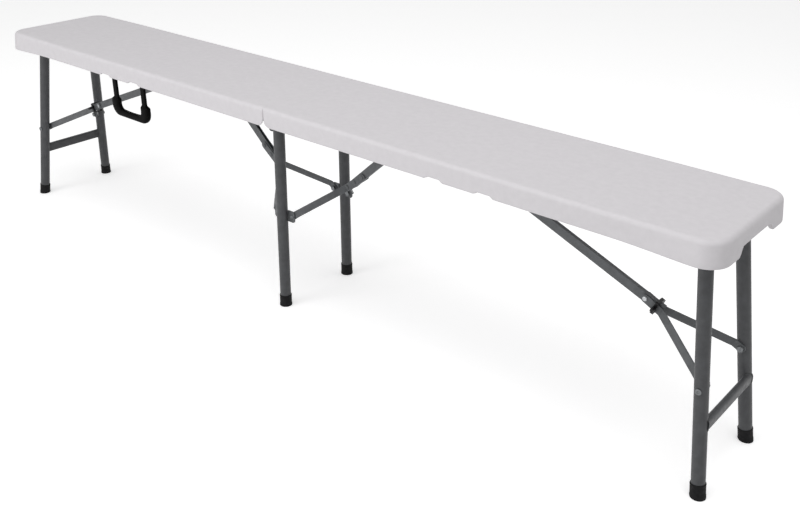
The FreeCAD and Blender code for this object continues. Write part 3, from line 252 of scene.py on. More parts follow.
def tint_roughness_and_bump(tree, shader, colour, tint, rough, bump):
    """Give a shader a mottled colour, a varied roughness and a bump from noise of stated grain sizes.

    tint is (grain mm, darkest factor, lightest factor), rough is (grain mm, low, high) and
    bump is (grain mm, height mm).
    """
    spots = grain(tree, tint[0], detail=3.0)
    mottled = ramp(tree, spots.outputs["Fac"], 0.3, 0.7, (shade(colour, tint[1]), shade(colour, tint[2])))
    tree.links.new(mottled.outputs["Color"], shader.inputs["Base Color"])
    wear = grain(tree, rough[0], detail=2.0)
    level = add_node(tree, "ShaderNodeMapRange", {"From Min": 0.3, "From Max": 0.7, "To Min": rough[1],
                                                  "To Max": rough[2]}, {"Value": wear.outputs["Fac"]})
    tree.links.new(level.outputs["Result"], shader.inputs["Roughness"])
    relief = grain(tree, bump[0], detail=2.0)
    height = add_node(tree, "ShaderNodeBump", {"Strength": 1.0, "Distance": bump[1] * MM},
                      {"Height": relief.outputs["Fac"]})
    tree.links.new(height.outputs["Normal"], shader.inputs["Normal"])


# Materials, each named for the real one, and a paler copy of the powder coat that holds painted light


def blow_moulded_polyethylene(colour):
    """High-density polyethylene from a sand-blasted mould: pale, waxy and faintly pebbled."""
    material, tree, shader = new_material("blow_moulded_polyethylene", {
        "IOR": 1.54, "Specular IOR Level": 0.25})
    # The mould's sand grain is about 0.6 mm; it is drawn at 3.5 mm so that it shows at the picture's scale.
    tint_roughness_and_bump(tree, shader, linear(colour), (12, 0.975, 1.02), (22, 0.5, 0.64), (3.5, 0.06))
    return material


def powder_coated_steel(colour, name="powder_coated_tube"):
    """Grey polyester powder coat on steel tube: satin with a fine orange peel."""
    material, tree, shader = new_material(name, {"IOR": 1.5, "Specular IOR Level": 0.35})
    # Orange peel of a thin powder coat repeats every 1 to 2 mm.
    tint_roughness_and_bump(tree, shader, linear(colour), (14, 0.86, 1.16), (9, 0.38, 0.52), (1.6, 0.05))
    return material


def powder_coated_plate(colour):
    """The same powder coat on pressed plate, painted paler: painted light for the light that falls on the
    plates' flat faces.
    """
    return powder_coated_steel(colour, "powder_coated_plate")


def moulded_polypropylene(colour):
    """Glass-filled polypropylene from a textured mould: near black, with a soft sheen."""
    material, tree, shader = new_material("moulded_polypropylene", {"IOR": 1.49, "Specular IOR Level": 0.04})
    # The leather grain of the mould has cells of about 1.2 mm.
    tint_roughness_and_bump(tree, shader, linear(colour), (9, 0.8, 1.25), (6, 0.4, 0.52), (1.2, 0.08))
    return material


def moulded_rubber(colour):
    """Vulcanised rubber: black, dull and slightly dusty."""
    material, tree, shader = new_material("moulded_rubber", {"IOR": 1.52, "Specular IOR Level": 0.14})
    tint_roughness_and_bump(tree, shader, linear(colour), (6, 0.75, 1.5), (5, 0.58, 0.76), (1.0, 0.06))
    return material


def black_coated_steel(colour):
    """Black electrophoretic paint on a stamped steel ring: thin, with a soft gloss on its edges."""
    material, tree, shader = new_material("black_coated_steel", {"IOR": 1.5, "Specular IOR Level": 0.25})
    tint_roughness_and_bump(tree, shader, linear(colour), (4, 0.8, 1.3), (3, 0.3, 0.42), (1.1, 0.04))
    return material


def zinc_plated_steel(colour):
    """Bright zinc on turned and headed steel: pale, with slight clouding from the bath."""
    material, tree, shader = new_material("zinc_plated_steel", {"Metallic": 1.0})
    tint_roughness_and_bump(tree, shader, linear(colour), (3, 0.86, 1.08), (2, 0.24, 0.38), (0.8, 0.03))
    return material


def clouded_zinc_steel(colour):
    """Barrel-plated zinc that has clouded with handling: a dull grey metal with soft highlights."""
    material, tree, shader = new_material("clouded_zinc_steel", {"Metallic": 1.0})
    tint_roughness_and_bump(tree, shader, linear(colour), (3, 0.7, 1.1), (2, 0.4, 0.58), (0.8, 0.04))
    return material


def drawn_steel_rod(colour):
    """Cold-drawn steel rod with an oily, darker skin."""
    material, tree, shader = new_material("drawn_steel_rod", {"Metallic": 1.0})
    tint_roughness_and_bump(tree, shader, linear(colour), (5, 0.8, 1.1), (4, 0.32, 0.46), (0.7, 0.03))
    return material


DULL_ZINC_NODES = ("leg_bolts", "middle_leg_bolts", "strap_nuts", "seat_screws", "brace_pins", "handle_pins")
# The rivets of the middle straps are painted over with the straps.
# These pieces take the paler powder coat, whose paleness is painted light on their flat faces.
BRACE_PAINT_AND_LIGHT_NODES = ("end_link", "end_strap", "middle_link", "middle_strap", "middle_leg_tabs", "brace")


def finish_of(node_name):
    """The finish that a node takes, from what the piece is made of."""
    if node_name.startswith("seat_half"):
        return "seat"
    if node_name.startswith("feet"):
        return "rubber"
    if node_name == "carry_handle":
        return "moulding"
    if node_name.startswith("lock_ring"):
        return "ring"
    if "rod" in node_name:
        return "rod"
    if node_name.startswith("end_brace_rivet"):
        return "zinc"
    if node_name.startswith(DULL_ZINC_NODES):
        return "dull_zinc"
    # The braces get the paler powder coat, with painted light for their lit flat faces.
    if node_name.startswith(BRACE_PAINT_AND_LIGHT_NODES):
        return "brace_paint_and_painted_light"
    return "frame_paint"


MAKERS = {
    "seat": blow_moulded_polyethylene,
    "frame_paint": powder_coated_steel,
    # The braces' powder coat, painted paler as painted light on their flat faces.
    "brace_paint_and_painted_light": powder_coated_plate,
    "moulding": moulded_polypropylene,
    "rubber": moulded_rubber,
    "ring": black_coated_steel,
    "zinc": zinc_plated_steel,
    "dull_zinc": clouded_zinc_steel,
    "rod": drawn_steel_rod,
}
# Materials made so far, by finish.
MATERIALS = {}


def material_for(finish):
    """The material of a finish, made once."""
    if finish not in MATERIALS:
        colours = bpy.context.scene.bench_finish
        MATERIALS[finish] = MAKERS[finish](getattr(colours, finish))
    return MATERIALS[finish]


# Surfaces on grids


def grid_faces(rows, columns, close_rows, close_columns):
    """Quads of a grid of points numbered row by row, joined round where a direction closes."""
    r = np.arange(rows if close_rows else rows - 1)
    c = np.arange(columns if close_columns else columns - 1)
    r, c = np.meshgrid(r, c, indexing="ij")
    r, c = r.ravel(), c.ravel()
    r2, c2 = (r + 1) % rows, (c + 1) % columns
    return np.stack([r * columns + c, r2 * columns + c, r2 * columns + c2, r * columns + c2], axis=1)


def smooth(values, start, end):
    """0 before start, 1 after end, and the cubic 3t^2 - 2t^3 between them."""
    t = np.clip((values - start) / (end - start), 0, 1)
    return t * t * (3 - 2 * t)


def rounded(angle, exponent):
    """Cosine and sine of an angle, each raised to 2 / exponent: the unit superellipse."""
    cosine, sine = np.cos(angle), np.sin(angle)
    power = 2 / exponent
    return np.sign(cosine) * np.abs(cosine) ** power, np.sign(sine) * np.abs(sine) ** power


MERGE_DISTANCE = 0.002 * MM
SHARP_ANGLE = math.radians(50)


def add_piece(name, grids, body, node, finish):
    """Make one piece from closed grids of points and let it stand for a node.

    Each grid has the shape (rows, columns, 3).
    """
    points, faces, count = [], [], 0
    for grid in grids:
        rows, columns = grid.shape[:2]
        points.append(grid.reshape(-1, 3))
        faces.append(grid_faces(rows, columns, False, True) + count)
        count += rows * columns
    mesh = bpy.data.meshes.new(name)
    mesh.from_pydata(np.concatenate(points).tolist(), [], np.concatenate(faces).tolist())
    work = bmesh.new()
    work.from_mesh(mesh)
    bmesh.ops.remove_doubles(work, verts=work.verts, dist=MERGE_DISTANCE)
    bmesh.ops.recalc_face_normals(work, faces=work.faces)
    work.to_mesh(mesh)
    work.free()
    mesh.polygons.foreach_set("use_smooth", np.ones(len(mesh.polygons), dtype=bool))
    mesh.set_sharp_from_angle(angle=SHARP_ANGLE)
    piece = bpy.data.objects.new(name, mesh)
    bpy.context.scene.collection.objects.link(piece)
    mesh.materials.append(material_for(finish))
    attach(piece, body)
    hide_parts(node)
    return piece


# The moulded seat

# Where the skirt's lower edge passes into the lip, measured in from the seat's side.
LIP_BLEND = (10 * MM, 4 * MM)
# The skirt has its full depth this far from the end.
END_DROP_FULL = 10 * MM
# Slopes of the recess, about its side, start and end.
RECESS_SIDE = (-1 * MM, 0.5 * MM)
RECESS_START = (-1 * MM, 2 * MM)
RECESS_END = (-2 * MM, 1 * MM)
# Radius of a dimple's flat floor, as a share of its mouth.
DIMPLE_FLOOR = 0.7
# The line in the middle of the panel that the rings close on.
SPINE_FROM_SPLIT = 40 * MM
SPINE_FROM_END = 125 * MM
# Rings of the flat top, measured in from the edge's rounding.
TOP_RINGS = (6 * MM, 1.5 * MM)
# Along the seat, where the edge's small rounding at the split passes into the full one.
SPLIT_BLEND = (3 * MM, 28 * MM)
# The skirt spreads fully from this far before the end, and not at all this far inside the outline.
FLARE_FULL = 20 * MM
FLARE_FADE = 60 * MM
# Levels of the rings down the skirt and up its inside, as shares.
SKIRT_SHARES = (0.12, 0.35, 0.6, 0.8, 1.0)
INSIDE_SHARES = (0.34, 0.67, 1.0)
# Rings of the underside by their distance from the middle line, close over the dimples and the
# side of the recess.
PLAIN_ROWS_END = 56 * MM
CLOSE_ROWS = np.concatenate([np.linspace(53.5, 34.5, 12), [28, 20, 14, 13, 12, 6, 0]]) * MM


def arc(centre, radius, start):
    """A quarter circle of points, anticlockwise from an angle."""
    angle = start + np.linspace(0, math.pi / 2, 11)
    return np.stack([centre[0] + radius * np.cos(angle), centre[1] + radius * np.sin(angle)], axis=1)


def run(start, end, shares):
    """Points on a straight line at given shares of its length."""
    start, end = np.array(start), np.array(end)
    return start + (end - start) * shares[:, None]


def plan_outline(size, inset):
    """One half's outline in plan, moved inwards: four runs joined by quarter circles, anticlockwise."""
    outer = max(size.corner - inset, 0.4 * MM)
    inner = max(size.split_corner - inset, 0.4 * MM)
    x0, x1, y1 = size.split_gap / 2 + inset, SEAT_HIGH[0] - inset, SEAT_HIGH[1] - inset
    # The long runs have close points by the split, where the skirt's lower corner turns.
    long_run = np.concatenate([np.linspace(0, 0.03, 12)[1:], np.linspace(0.03, 1, 250)[1:-1]])
    short_run = np.linspace(0, 1, 46)[1:-1]
    near = run((x0 + inner, -y1), (x1 - outer, -y1), long_run)
    far = run((x0 + inner, y1), (x1 - outer, y1), long_run)[::-1]
    return np.concatenate([
        arc((x0 + inner, -y1 + inner), inner, math.pi), near,
        arc((x1 - outer, -y1 + outer), outer, 1.5 * math.pi),
        run((x1, -y1 + outer), (x1, y1 - outer), short_run),
        arc((x1 - outer, y1 - outer), outer, 0), far,
        arc((x0 + inner, y1 - inner), inner, 0.5 * math.pi),
        run((x0, y1 - inner), (x0, -y1 + inner), short_run),
    ])


def rim_rise(size, plan, near):
    """How far the skirt's lower edge stands above the rim at points of the outline.

    By the split it is a quarter circle and then the level lip, on the near side two notches with
    sloped ends. Towards the end it sinks a little, and in the end is the hand arch. near is the
    sign of Y on the near side.
    """
    along, across = plan[:, 0] - size.split_gap / 2, np.abs(plan[:, 1])
    half = SEAT_HIGH[1]
    turn = np.clip(size.lip_round - along, 0, None)
    rise = size.lip_round - np.sqrt(size.lip_round ** 2 - turn ** 2)
    on_lip = (1 - smooth(across, half - LIP_BLEND[0], half - LIP_BLEND[1])) * (along < size.lip_round)
    lip_rise = SEAT_HIGH[2] - size.lip - SEAT_LOW[2]
    rise = rise * (1 - on_lip) + lip_rise * on_lip
    by_end = smooth(plan[:, 0], SEAT_HIGH[0] - size.end_reach, SEAT_HIGH[0] - END_DROP_FULL)
    rise -= size.end_drop * by_end
    arch = 1 - smooth(across, size.arch_width / 2, size.arch_width / 2 + size.arch_slope)
    rise += (size.arch_height + size.end_drop) * arch * (along > half)
    on_side = (plan[:, 1] * near > half - 0.1 * MM).astype(float)
    for step in (-0.5, 0.5):
        reach = np.abs(plan[:, 0] - size.notch_place - step * size.notch_pitch)
        # Each end of a notch slopes over as much as the notch is deep, to both sides.
        floor, mouth = size.notch_width / 2 - size.notch_depth, size.notch_width / 2 + size.notch_depth
        rise += size.notch_depth * on_side * (1 - smooth(reach, floor, mouth))
    return rise


def underside_rise(size, x, y):
    """How far the panel's underside is raised: the long recess, and two rows of cone-shaped dimples."""
    across = np.abs(y)
    half = size.recess_width / 2
    recess = 1 - smooth(across, half + RECESS_SIDE[0], half + RECESS_SIDE[1])
    recess = recess * smooth(x, size.recess_start + RECESS_START[0], size.recess_start + RECESS_START[1])
    recess = recess * (1 - smooth(x, size.recess_end + RECESS_END[0], size.recess_end + RECESS_END[1]))
    number = np.clip(np.round((x - size.dimple_start) / size.dimple_pitch), 0, size.dimple_count - 1)
    centre = size.dimple_start + number * size.dimple_pitch
    distance = np.hypot(x - centre, across - size.dimple_row)
    dimple = 1 - smooth(distance, size.dimple_radius * DIMPLE_FLOOR, size.dimple_radius)
    return np.maximum(size.recess_depth * recess, size.dimple_depth * dimple)


def seat_shell(size, near):
    """One half of the seat as rings round its outline, from the top's middle to the underside's.

    Each ring is the outline moved inwards by some amount, at some height: flat top, quarter circle
    of the edge, skirt, half round of the rim, inside of the skirt, and the panel's underside. The
    edge's rounding runs straight on into the split, where the cut face has only a small one.
    Last, with lean running from 0 at the rim to 1 at the top, the skirt round the end moves
    outwards by flare times (0.5 - lean), and the cut face moves in by its draft times (1 - lean).
    """
    outer = plan_outline(size, 0.0)
    step_in = (plan_outline(size, size.wall) - outer) / size.wall
    spine = np.stack([np.clip(outer[:, 0], SEAT_LOW[0] + SPINE_FROM_SPLIT, SEAT_HIGH[0] - SPINE_FROM_END),
                      np.zeros(len(outer))], axis=1)
    ones = np.ones(len(outer))
    top, panel = SEAT_HIGH[2], SEAT_HIGH[2] - size.panel
    rim = SEAT_LOW[2] + rim_rise(size, outer, near)
    edge, soft, root = size.edge, size.rim_round, size.root_round
    by_split = 1 - smooth(outer[:, 0], *SPLIT_BLEND)
    # How far a ring's points move in along X and Y for an inset of 1 in the top edge's rounding.
    edge_step = step_in * np.column_stack([1 - by_split * (1 - size.split_edge / edge), ones])
    quarter = np.linspace(0, math.pi / 2, 7)
    rings = [np.column_stack([spine, top * ones])]
    for beyond in TOP_RINGS:
        rings.append(np.column_stack([outer + edge_step * (edge + beyond), top * ones]))
    for angle in quarter:
        plan = outer + edge_step * edge * (1 - math.sin(angle))
        fall = edge * (1 - math.cos(angle))
        sideways = np.clip(np.abs(plan[:, 1]) - (SEAT_HIGH[1] - edge), 0, edge)
        profile = edge - np.sqrt(edge ** 2 - sideways ** 2)
        on_cut = outer[:, 0] < size.split_gap / 2 + size.split_corner
        fall = np.where(on_cut, np.maximum(profile, fall * size.split_edge / edge), fall)
        rings.append(np.column_stack([plan, top - fall]))
    start = rings[-1][:, 2]
    insets, levels = [], []
    for share in SKIRT_SHARES:
        insets.append(0.0)
        levels.append(start * (1 - share) + (rim + soft) * share)
    for angle in quarter[1:]:
        insets.append(soft * (1 - math.cos(angle)))
        levels.append(rim + soft * (1 - math.sin(angle)))
    for angle in quarter:
        insets.append(size.wall - soft * (1 - math.sin(angle)))
        levels.append(rim + soft * (1 - math.cos(angle)))
    for share in INSIDE_SHARES:
        insets.append(size.wall)
        levels.append((rim + soft) * (1 - share) + (panel - root) * share)
    for angle in quarter[1:]:
        insets.append(size.wall + root * (1 - math.cos(angle)))
        levels.append(panel - root * (1 - math.sin(angle)))
    for inset, level in zip(insets, levels):
        rings.append(np.column_stack([outer + step_in * inset, level * ones]))
    edge_of_panel = rings[-1][:, :2]
    reach = SEAT_HIGH[1] - size.wall - root
    for row in np.concatenate([np.linspace(reach, PLAIN_ROWS_END, 9)[1:], CLOSE_ROWS]):
        plan = spine + (edge_of_panel - spine) * (row / reach)
        rings.append(np.column_stack([plan, panel + underside_rise(size, plan[:, 0], plan[:, 1])]))
    shell = np.stack(rings)
    lean = np.clip((shell[:, :, 2] - SEAT_LOW[2]) / (top - SEAT_LOW[2]), 0, 1)
    outwards = -step_in / np.linalg.norm(step_in, axis=1)[:, None]
    by_end = smooth(outer[:, 0], SEAT_HIGH[0] - size.flare_reach, SEAT_HIGH[0] - FLARE_FULL)
    on_side = 1 - smooth(np.abs(shell[:, :, :2] - outer).max(axis=2), size.wall + root, FLARE_FADE)
    spread = size.flare * (0.5 - lean) * by_end * on_side
    shell[:, :, :2] += spread[:, :, None] * outwards
    shell[:, :, 0] += size.split_draft * by_split * (1 - lean) * on_side
    return shell


# The grip, the foot caps, the crossbars and the leg bolts

# How far the bar's upper side is hollowed in its middle.
BAR_HOLLOW = 1.2 * MM
# Exponent of the superellipse of a neck, and how much lower it is for the rounder grip.
NECK_EXPONENT = 6
GRIP_EXPONENT_FALL = 3.1
# A foot cap's rounded tread edge, and its profile above it.
TREAD_ROUND = 3 * MM
TREAD_TOP = 4 * MM
WAIST_LEVELS = (6 * MM, 12 * MM)
COLLAR_BULGE = 0.35
COLLAR_POWER = 0.3
# Exponent of a crossbar's section, and how high its weld bead stands, as a share of its width.
CROSSBAR_EXPONENT = 3.2
BEAD_HEIGHT = 0.55
CROSSBAR_SHARES = np.concatenate([np.linspace(-1, -0.94, 8), np.linspace(-0.9, 0.9, 7),
                                  np.linspace(0.94, 1, 8)])
# The rounded lower edge of a bolt's head, and the height of its rim.
HEAD_ROUND = 0.7 * MM
HEAD_RIM = 1.3 * MM


def grip_surface(size):
    """The grip as superellipse sections between an outer and an inner curve, from eye to eye.

    Down a neck the curves are straight, then they spread over the shoulder, run down the knuckle,
    turn round two quarter circles and meet those of the other side in the middle of the bar.
    """
    neck_out = (size.neck_pitch + size.neck_width) / 2
    neck_in = (size.neck_pitch - size.neck_width) / 2
    side, inside = size.width / 2, size.width / 2 - size.knuckle
    eye = size.eye * np.cos(np.linspace(0, math.pi / 2, 8))
    down = np.concatenate([eye, -np.linspace(0, 1, 12)[1:] * size.knuckle_top])
    fall = np.linspace(0, 1, 14)[1:]
    spread = smooth(fall, 0, 1)
    shoulder = -size.knuckle_top - fall * size.shoulder
    corner_out = -size.drop + size.corner
    corner_in = -size.drop + size.bar + size.inner_corner
    turn = math.pi + np.linspace(0, math.pi / 2, 16)
    bar = np.linspace(0, 1, 12)[1:]
    sink = BAR_HOLLOW * (1 - (1 - bar) ** 2)
    outer = np.concatenate([
        np.stack([-neck_out + 0 * down, down], axis=1),
        np.stack([-neck_out + (neck_out - side) * spread, shoulder], axis=1),
        np.stack([-side + size.corner * (1 + np.cos(turn)), corner_out + size.corner * np.sin(turn)], axis=1),
        np.stack([(size.corner - side) * (1 - bar), -size.drop + 0 * bar], axis=1),
    ])
    inner = np.concatenate([
        np.stack([-neck_in + 0 * down, down], axis=1),
        np.stack([-neck_in + (neck_in - inside) * spread, shoulder], axis=1),
        np.stack([-inside + size.inner_corner * (1 + np.cos(turn)),
                  corner_in + size.inner_corner * np.sin(turn)], axis=1),
        np.stack([(size.inner_corner - inside) * (1 - bar), -size.drop + size.bar - sink], axis=1),
    ])
    outer = np.concatenate([outer, (outer * (-1, 1))[-2::-1]])
    inner = np.concatenate([inner, (inner * (-1, 1))[-2::-1]])
    level = (outer[:, 1] + inner[:, 1]) / 2
    round_eye = np.sqrt(np.clip(size.eye ** 2 - level ** 2, 0, None))
    thick = np.where(level > 0, round_eye, np.maximum(round_eye, size.neck_depth / 2))
    grip_part = smooth(-level, size.knuckle_top, size.knuckle_top + size.shoulder)
    thick = thick + (size.depth / 2 - thick) * grip_part
    exponent = NECK_EXPONENT - GRIP_EXPONENT_FALL * grip_part
    angle = np.linspace(0, 2 * math.pi, 37)[:-1]
    cosine, sine = rounded(angle[None, :], exponent[:, None])
    middle, arm = (outer + inner) / 2, (outer - inner) / 2
    flat = middle[:, None, :] + arm[:, None, :] * cosine[:, :, None]
    place = (PIN_LOW + PIN_HIGH) / 2
    return np.stack([flat[:, :, 0], thick[:, None] * sine, flat[:, :, 1]], axis=2) + place


def frame_along(direction):
    """Two directions at right angles to a direction and to each other."""
    first = np.cross(direction, (0, 1, 0) if abs(direction[1]) < 0.9 else (1, 0, 0))
    first = first / np.linalg.norm(first)
    return first, np.cross(direction, first)


def lathe(origin, direction, radius, height, columns):
    """A profile of radius and height turned round an axis, as a grid of points."""
    first, second = frame_along(direction)
    angle = np.linspace(0, 2 * math.pi, columns + 1)[:-1]
    spokes = np.cos(angle)[:, None] * first + np.sin(angle)[:, None] * second
    return origin + radius[:, None, None] * spokes + height[:, None, None] * direction


def tube_axis(node):
    """The foot point on the floor of a leg tube's middle line, and its upward direction.

    The line runs through the middles of the upper and the lower half of the tube's points.
    """
    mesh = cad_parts[node].data
    points = np.empty(len(mesh.vertices) * 3)
    mesh.vertices.foreach_get("co", points)
    points = points.reshape(-1, 3)
    middle = (points[:, 2].min() + points[:, 2].max()) / 2
    high = points[points[:, 2] > middle].mean(axis=0)
    low = points[points[:, 2] < middle].mean(axis=0)
    upward = (high - low) / np.linalg.norm(high - low)
    return low - upward * (low[2] / upward[2]), upward


def foot_cap(size, node):
    """A rubber cap turned round its tube: rounded tread, straight side, rounded collar, closed inside.

    Points below the floor are raised to it, so the tread stands flat under a leaning tube.
    """
    foot, upward = tube_axis(node)
    quarter = np.linspace(0, math.pi / 2, 7)
    soft, wall = TREAD_ROUND, size.body - size.tube
    bulge = wall * (1.0 + COLLAR_BULGE * np.sin(2 * quarter)) * np.cos(quarter) ** COLLAR_POWER
    radius = np.concatenate([[0, size.radius / 2], size.radius - soft + soft * np.sin(quarter),
                             [size.radius, size.body, size.body, size.body],
                             size.tube + bulge, [size.tube, size.tube, 0]])
    height = np.concatenate([[-size.tread, -size.tread], -size.tread + soft * (1 - np.cos(quarter)),
                             [TREAD_TOP, *WAIST_LEVELS, size.height - size.collar],
                             size.height - size.collar + size.collar * np.sin(quarter),
                             [size.height - 1 * MM, size.tread, size.tread]])
    grid = lathe(foot, upward, radius, height, 40)
    grid[:, :, 2] = np.maximum(grid[:, :, 2], 0)
    return grid


def crossbar(size, node, legs):
    """A flattened tube carried across between two round legs, each end coped to its leg and welded.

    The section is a superellipse. An end's point lies on the leg's surface: the leg's
    middle line less the square root of the leg's radius squared less the point's distance beside
    that line squared. Near an end the section swells by a quarter circle, which is the bead.
    """
    low, high = [np.array(corner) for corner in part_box(node)]
    middle, half = (low + high) / 2, (high - low) / 2
    angle = np.linspace(0, 2 * math.pi, 49)[:-1]
    cosine, sine = rounded(angle, CROSSBAR_EXPONENT)
    ends = []
    for leg in legs:
        foot, upward = tube_axis(leg)
        slant = upward / upward[2]
        beside = np.array([middle[0] + half[0] * cosine, middle[2] + half[2] * sine])
        axis_x = foot[0] + slant[0] * beside[1]
        axis_y = foot[1] + slant[1] * beside[1]
        aside = (beside[0] - axis_x) * upward[2] / np.hypot(upward[0], upward[2])
        depth = np.sqrt(np.clip(size.tube ** 2 - aside ** 2, 0, None))
        ends.append(axis_y - np.sign(axis_y) * depth)
    far, near = np.maximum(*ends), np.minimum(*ends)
    across = near + (far - near) * (CROSSBAR_SHARES[:, None] + 1) / 2
    from_end = np.minimum(far - across, across - near)
    bead = np.sqrt(np.clip(1 - (from_end / size.weld) ** 2, 0, 1)) * size.weld * BEAD_HEIGHT
    swell = 1 + bead / half[0], 1 + bead / half[2]
    surface = np.stack([middle[0] + half[0] * cosine * swell[0], across,
                        middle[2] + half[2] * sine * swell[1]], axis=2)
    caps = [np.repeat(surface[row].mean(axis=0)[None, :], len(angle), axis=0)[None] for row in (0, -1)]
    return np.concatenate([caps[0], surface, caps[1]])


def bolt(size, under_head, outward):
    """A round-headed bolt: a dome whose middle is sunk along two crossed slots, a rim, and a shank."""
    crown = np.linspace(0, 1, 15)
    quarter = np.linspace(0, math.pi / 2, 5)[1:]
    lip = HEAD_ROUND
    radius = np.concatenate([crown * (size.head - lip), size.head - lip + lip * np.sin(quarter),
                             [size.head, size.shank, size.shank, 0]])
    dome = size.crown - (size.crown - HEAD_RIM) * crown ** 2
    height = np.concatenate([dome, HEAD_RIM - lip * (1 - np.cos(quarter)),
                             [0, 0, -size.reach, -size.reach]])
    grid = lathe(under_head, outward, radius, height, 48)
    first, second = frame_along(outward)
    u, v = np.abs((grid - under_head) @ first), np.abs((grid - under_head) @ second)
    wide, long = size.slot / 2, size.slot_length / 2
    slots = np.maximum((1 - smooth(u, wide * 0.6, wide * 1.4)) * (1 - smooth(v, long * 0.8, long)),
                       (1 - smooth(v, wide * 0.6, wide * 1.4)) * (1 - smooth(u, long * 0.8, long)))
    on_top = np.zeros(len(radius))
    on_top[:len(crown)] = 1
    return grid - (slots * on_top[:, None] * size.slot_depth)[:, :, None] * outward


# Operators


class BENCH_OT_finishes(bpy.types.Operator):
    """Give every carried-over piece the finish of its real material"""

    bl_idname = "bench.finishes"
    bl_label = "Finishes"

    def execute(self, context):
        for name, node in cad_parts.items():
            node.data.materials.clear()
            node.data.materials.append(material_for(finish_of(name)))
        return {"FINISHED"}


class BENCH_OT_seat(bpy.types.Operator):
    """Make the two halves of the moulded seat"""

    bl_idname = "bench.seat"
    bl_label = "Seat"

    def execute(self, context):
        size = context.scene.bench_seat
        for side, turn, near in (("right", 1, -1), ("left", -1, 1)):
            grid = seat_shell(size, near) * (turn, turn, 1)
            add_piece("moulded_seat_" + side, [grid], side + "_half", "seat_half_" + side, "seat")
        return {"FINISHED"}


class BENCH_OT_grip(bpy.types.Operator):
    """Make the moulded grip of the carry handle"""

    bl_idname = "bench.grip"
    bl_label = "Grip"

    def execute(self, context):
        grid = grip_surface(context.scene.bench_grip)
        add_piece("moulded_grip", [grid], "carry_handle", "carry_handle", "moulding")
        return {"FINISHED"}


class BENCH_OT_feet(bpy.types.Operator):
    """Make the rubber foot caps of the three leg sets"""

    bl_idname = "bench.feet"
    bl_label = "Feet"

    def execute(self, context):
        size = context.scene.bench_foot
        bodies = {"left": "end_legs_left", "middle": "middle_legs", "right": "end_legs_right"}
        for leg_set, body in bodies.items():
            caps = [foot_cap(size, "leg_%s_%s" % (leg_set, place)) for place in ("far", "near")]
            add_piece("foot_caps_" + leg_set, caps, body, "feet_" + leg_set, "rubber")
        return {"FINISHED"}


class BENCH_OT_crossbars(bpy.types.Operator):
    """Make the flattened crossbars of the end leg sets, with their welded ends"""

    bl_idname = "bench.crossbars"
    bl_label = "Crossbars"

    def execute(self, context):
        size = context.scene.bench_crossbar
        for side in ("left", "right"):
            legs = ["leg_%s_%s" % (side, place) for place in ("far", "near")]
            grid = crossbar(size, "crossbar_" + side, legs)
            add_piece("welded_crossbar_" + side, [grid], "end_legs_" + side, "crossbar_" + side,
                      "frame_paint")
        return {"FINISHED"}


class BENCH_OT_bolts(bpy.types.Operator):
    """Make the round-headed bolts on the outer sides of the end legs"""

    bl_idname = "bench.bolts"
    bl_label = "Leg bolts"

    def execute(self, context):
        size = context.scene.bench_bolt
        for side in ("left", "right"):
            low, high = [np.array(corner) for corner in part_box("leg_bolts_" + side)]
            middle = (low + high) / 2
            bolts = []
            for way, face in ((-1, low[1]), (1, high[1])):
                outward = np.array((0, way, 0), dtype=float)
                under_head = np.array((middle[0], face, middle[2])) - outward * size.crown
                bolts.append(bolt(size, under_head, outward))
            add_piece("round_bolts_" + side, bolts, "end_legs_" + side, "leg_bolts_" + side,
                      "dull_zinc")
        return {"FINISHED"}


class BENCH_OT_stage(bpy.types.Operator):
    """Set up the floor, the light and the camera"""

    bl_idname = "bench.stage"
    bl_label = "Stage"

    def execute(self, context):
        settings = context.scene.bench_stage
        make_floor()
        make_world(settings)
        make_lamps(settings)
        make_camera(settings)
        context.scene.view_settings.view_transform = "Standard"
        return {"FINISHED"}


WHITE = (1, 1, 1, 1)
FLOOR_REACH = 12
FLOOR_POINTS = 9
FLOOR_DROP = 0.5 * MM
PAPER_GLOW = 0.42
# Each lamp: name, the setting of its power, its side in metres, its place and what it points at.
LAMPS = (
    ("key_lamp", "key_level", 2.8, (0.7, -0.6, 2.7), (0.2, 0, 0.4)),
    ("side_lamp", "side_level", 1.6, (-0.9, -2.7, 1.0), (0.2, 0, 0.3)),
)


def make_floor():
    """A pale floor that runs out of sight, as a square grid just under the feet."""
    steps = np.linspace(-FLOOR_REACH, FLOOR_REACH, FLOOR_POINTS)
    x, y = np.meshgrid(steps, steps, indexing="ij")
    points = np.stack([x.ravel(), y.ravel(), np.full(x.size, -FLOOR_DROP)], axis=1)
    mesh = bpy.data.meshes.new("floor")
    mesh.from_pydata(points.tolist(), [], grid_faces(FLOOR_POINTS, FLOOR_POINTS, False, False).tolist())
    floor = bpy.data.objects.new("floor", mesh)
    bpy.context.scene.collection.objects.link(floor)
    material, tree, shader = new_material("studio_paper", {
        "Base Color": linear("#F4F4F4"), "Roughness": 0.95, "Specular IOR Level": 0.1})
    # Seen by the camera, the paper is white except where the bench shades it.
    path = add_node(tree, "ShaderNodeLightPath")
    glow = add_node(tree, "ShaderNodeEmission", {"Color": WHITE, "Strength": PAPER_GLOW})
    seen = add_node(tree, "ShaderNodeMath", {"operation": "MAXIMUM"},
                    {0: path.outputs["Is Camera Ray"], 1: path.outputs["Is Glossy Ray"]})
    both = add_node(tree, "ShaderNodeAddShader",
                    links={0: shader.outputs["BSDF"], 1: glow.outputs["Emission"]})
    mix = add_node(tree, "ShaderNodeMixShader", links={0: seen.outputs[0], 1: shader.outputs["BSDF"],
                                                       2: both.outputs["Shader"]})
    output = [node for node in tree.nodes if node.type == "OUTPUT_MATERIAL"][0]
    tree.links.new(mix.outputs["Shader"], output.inputs["Surface"])
    mesh.materials.append(material)


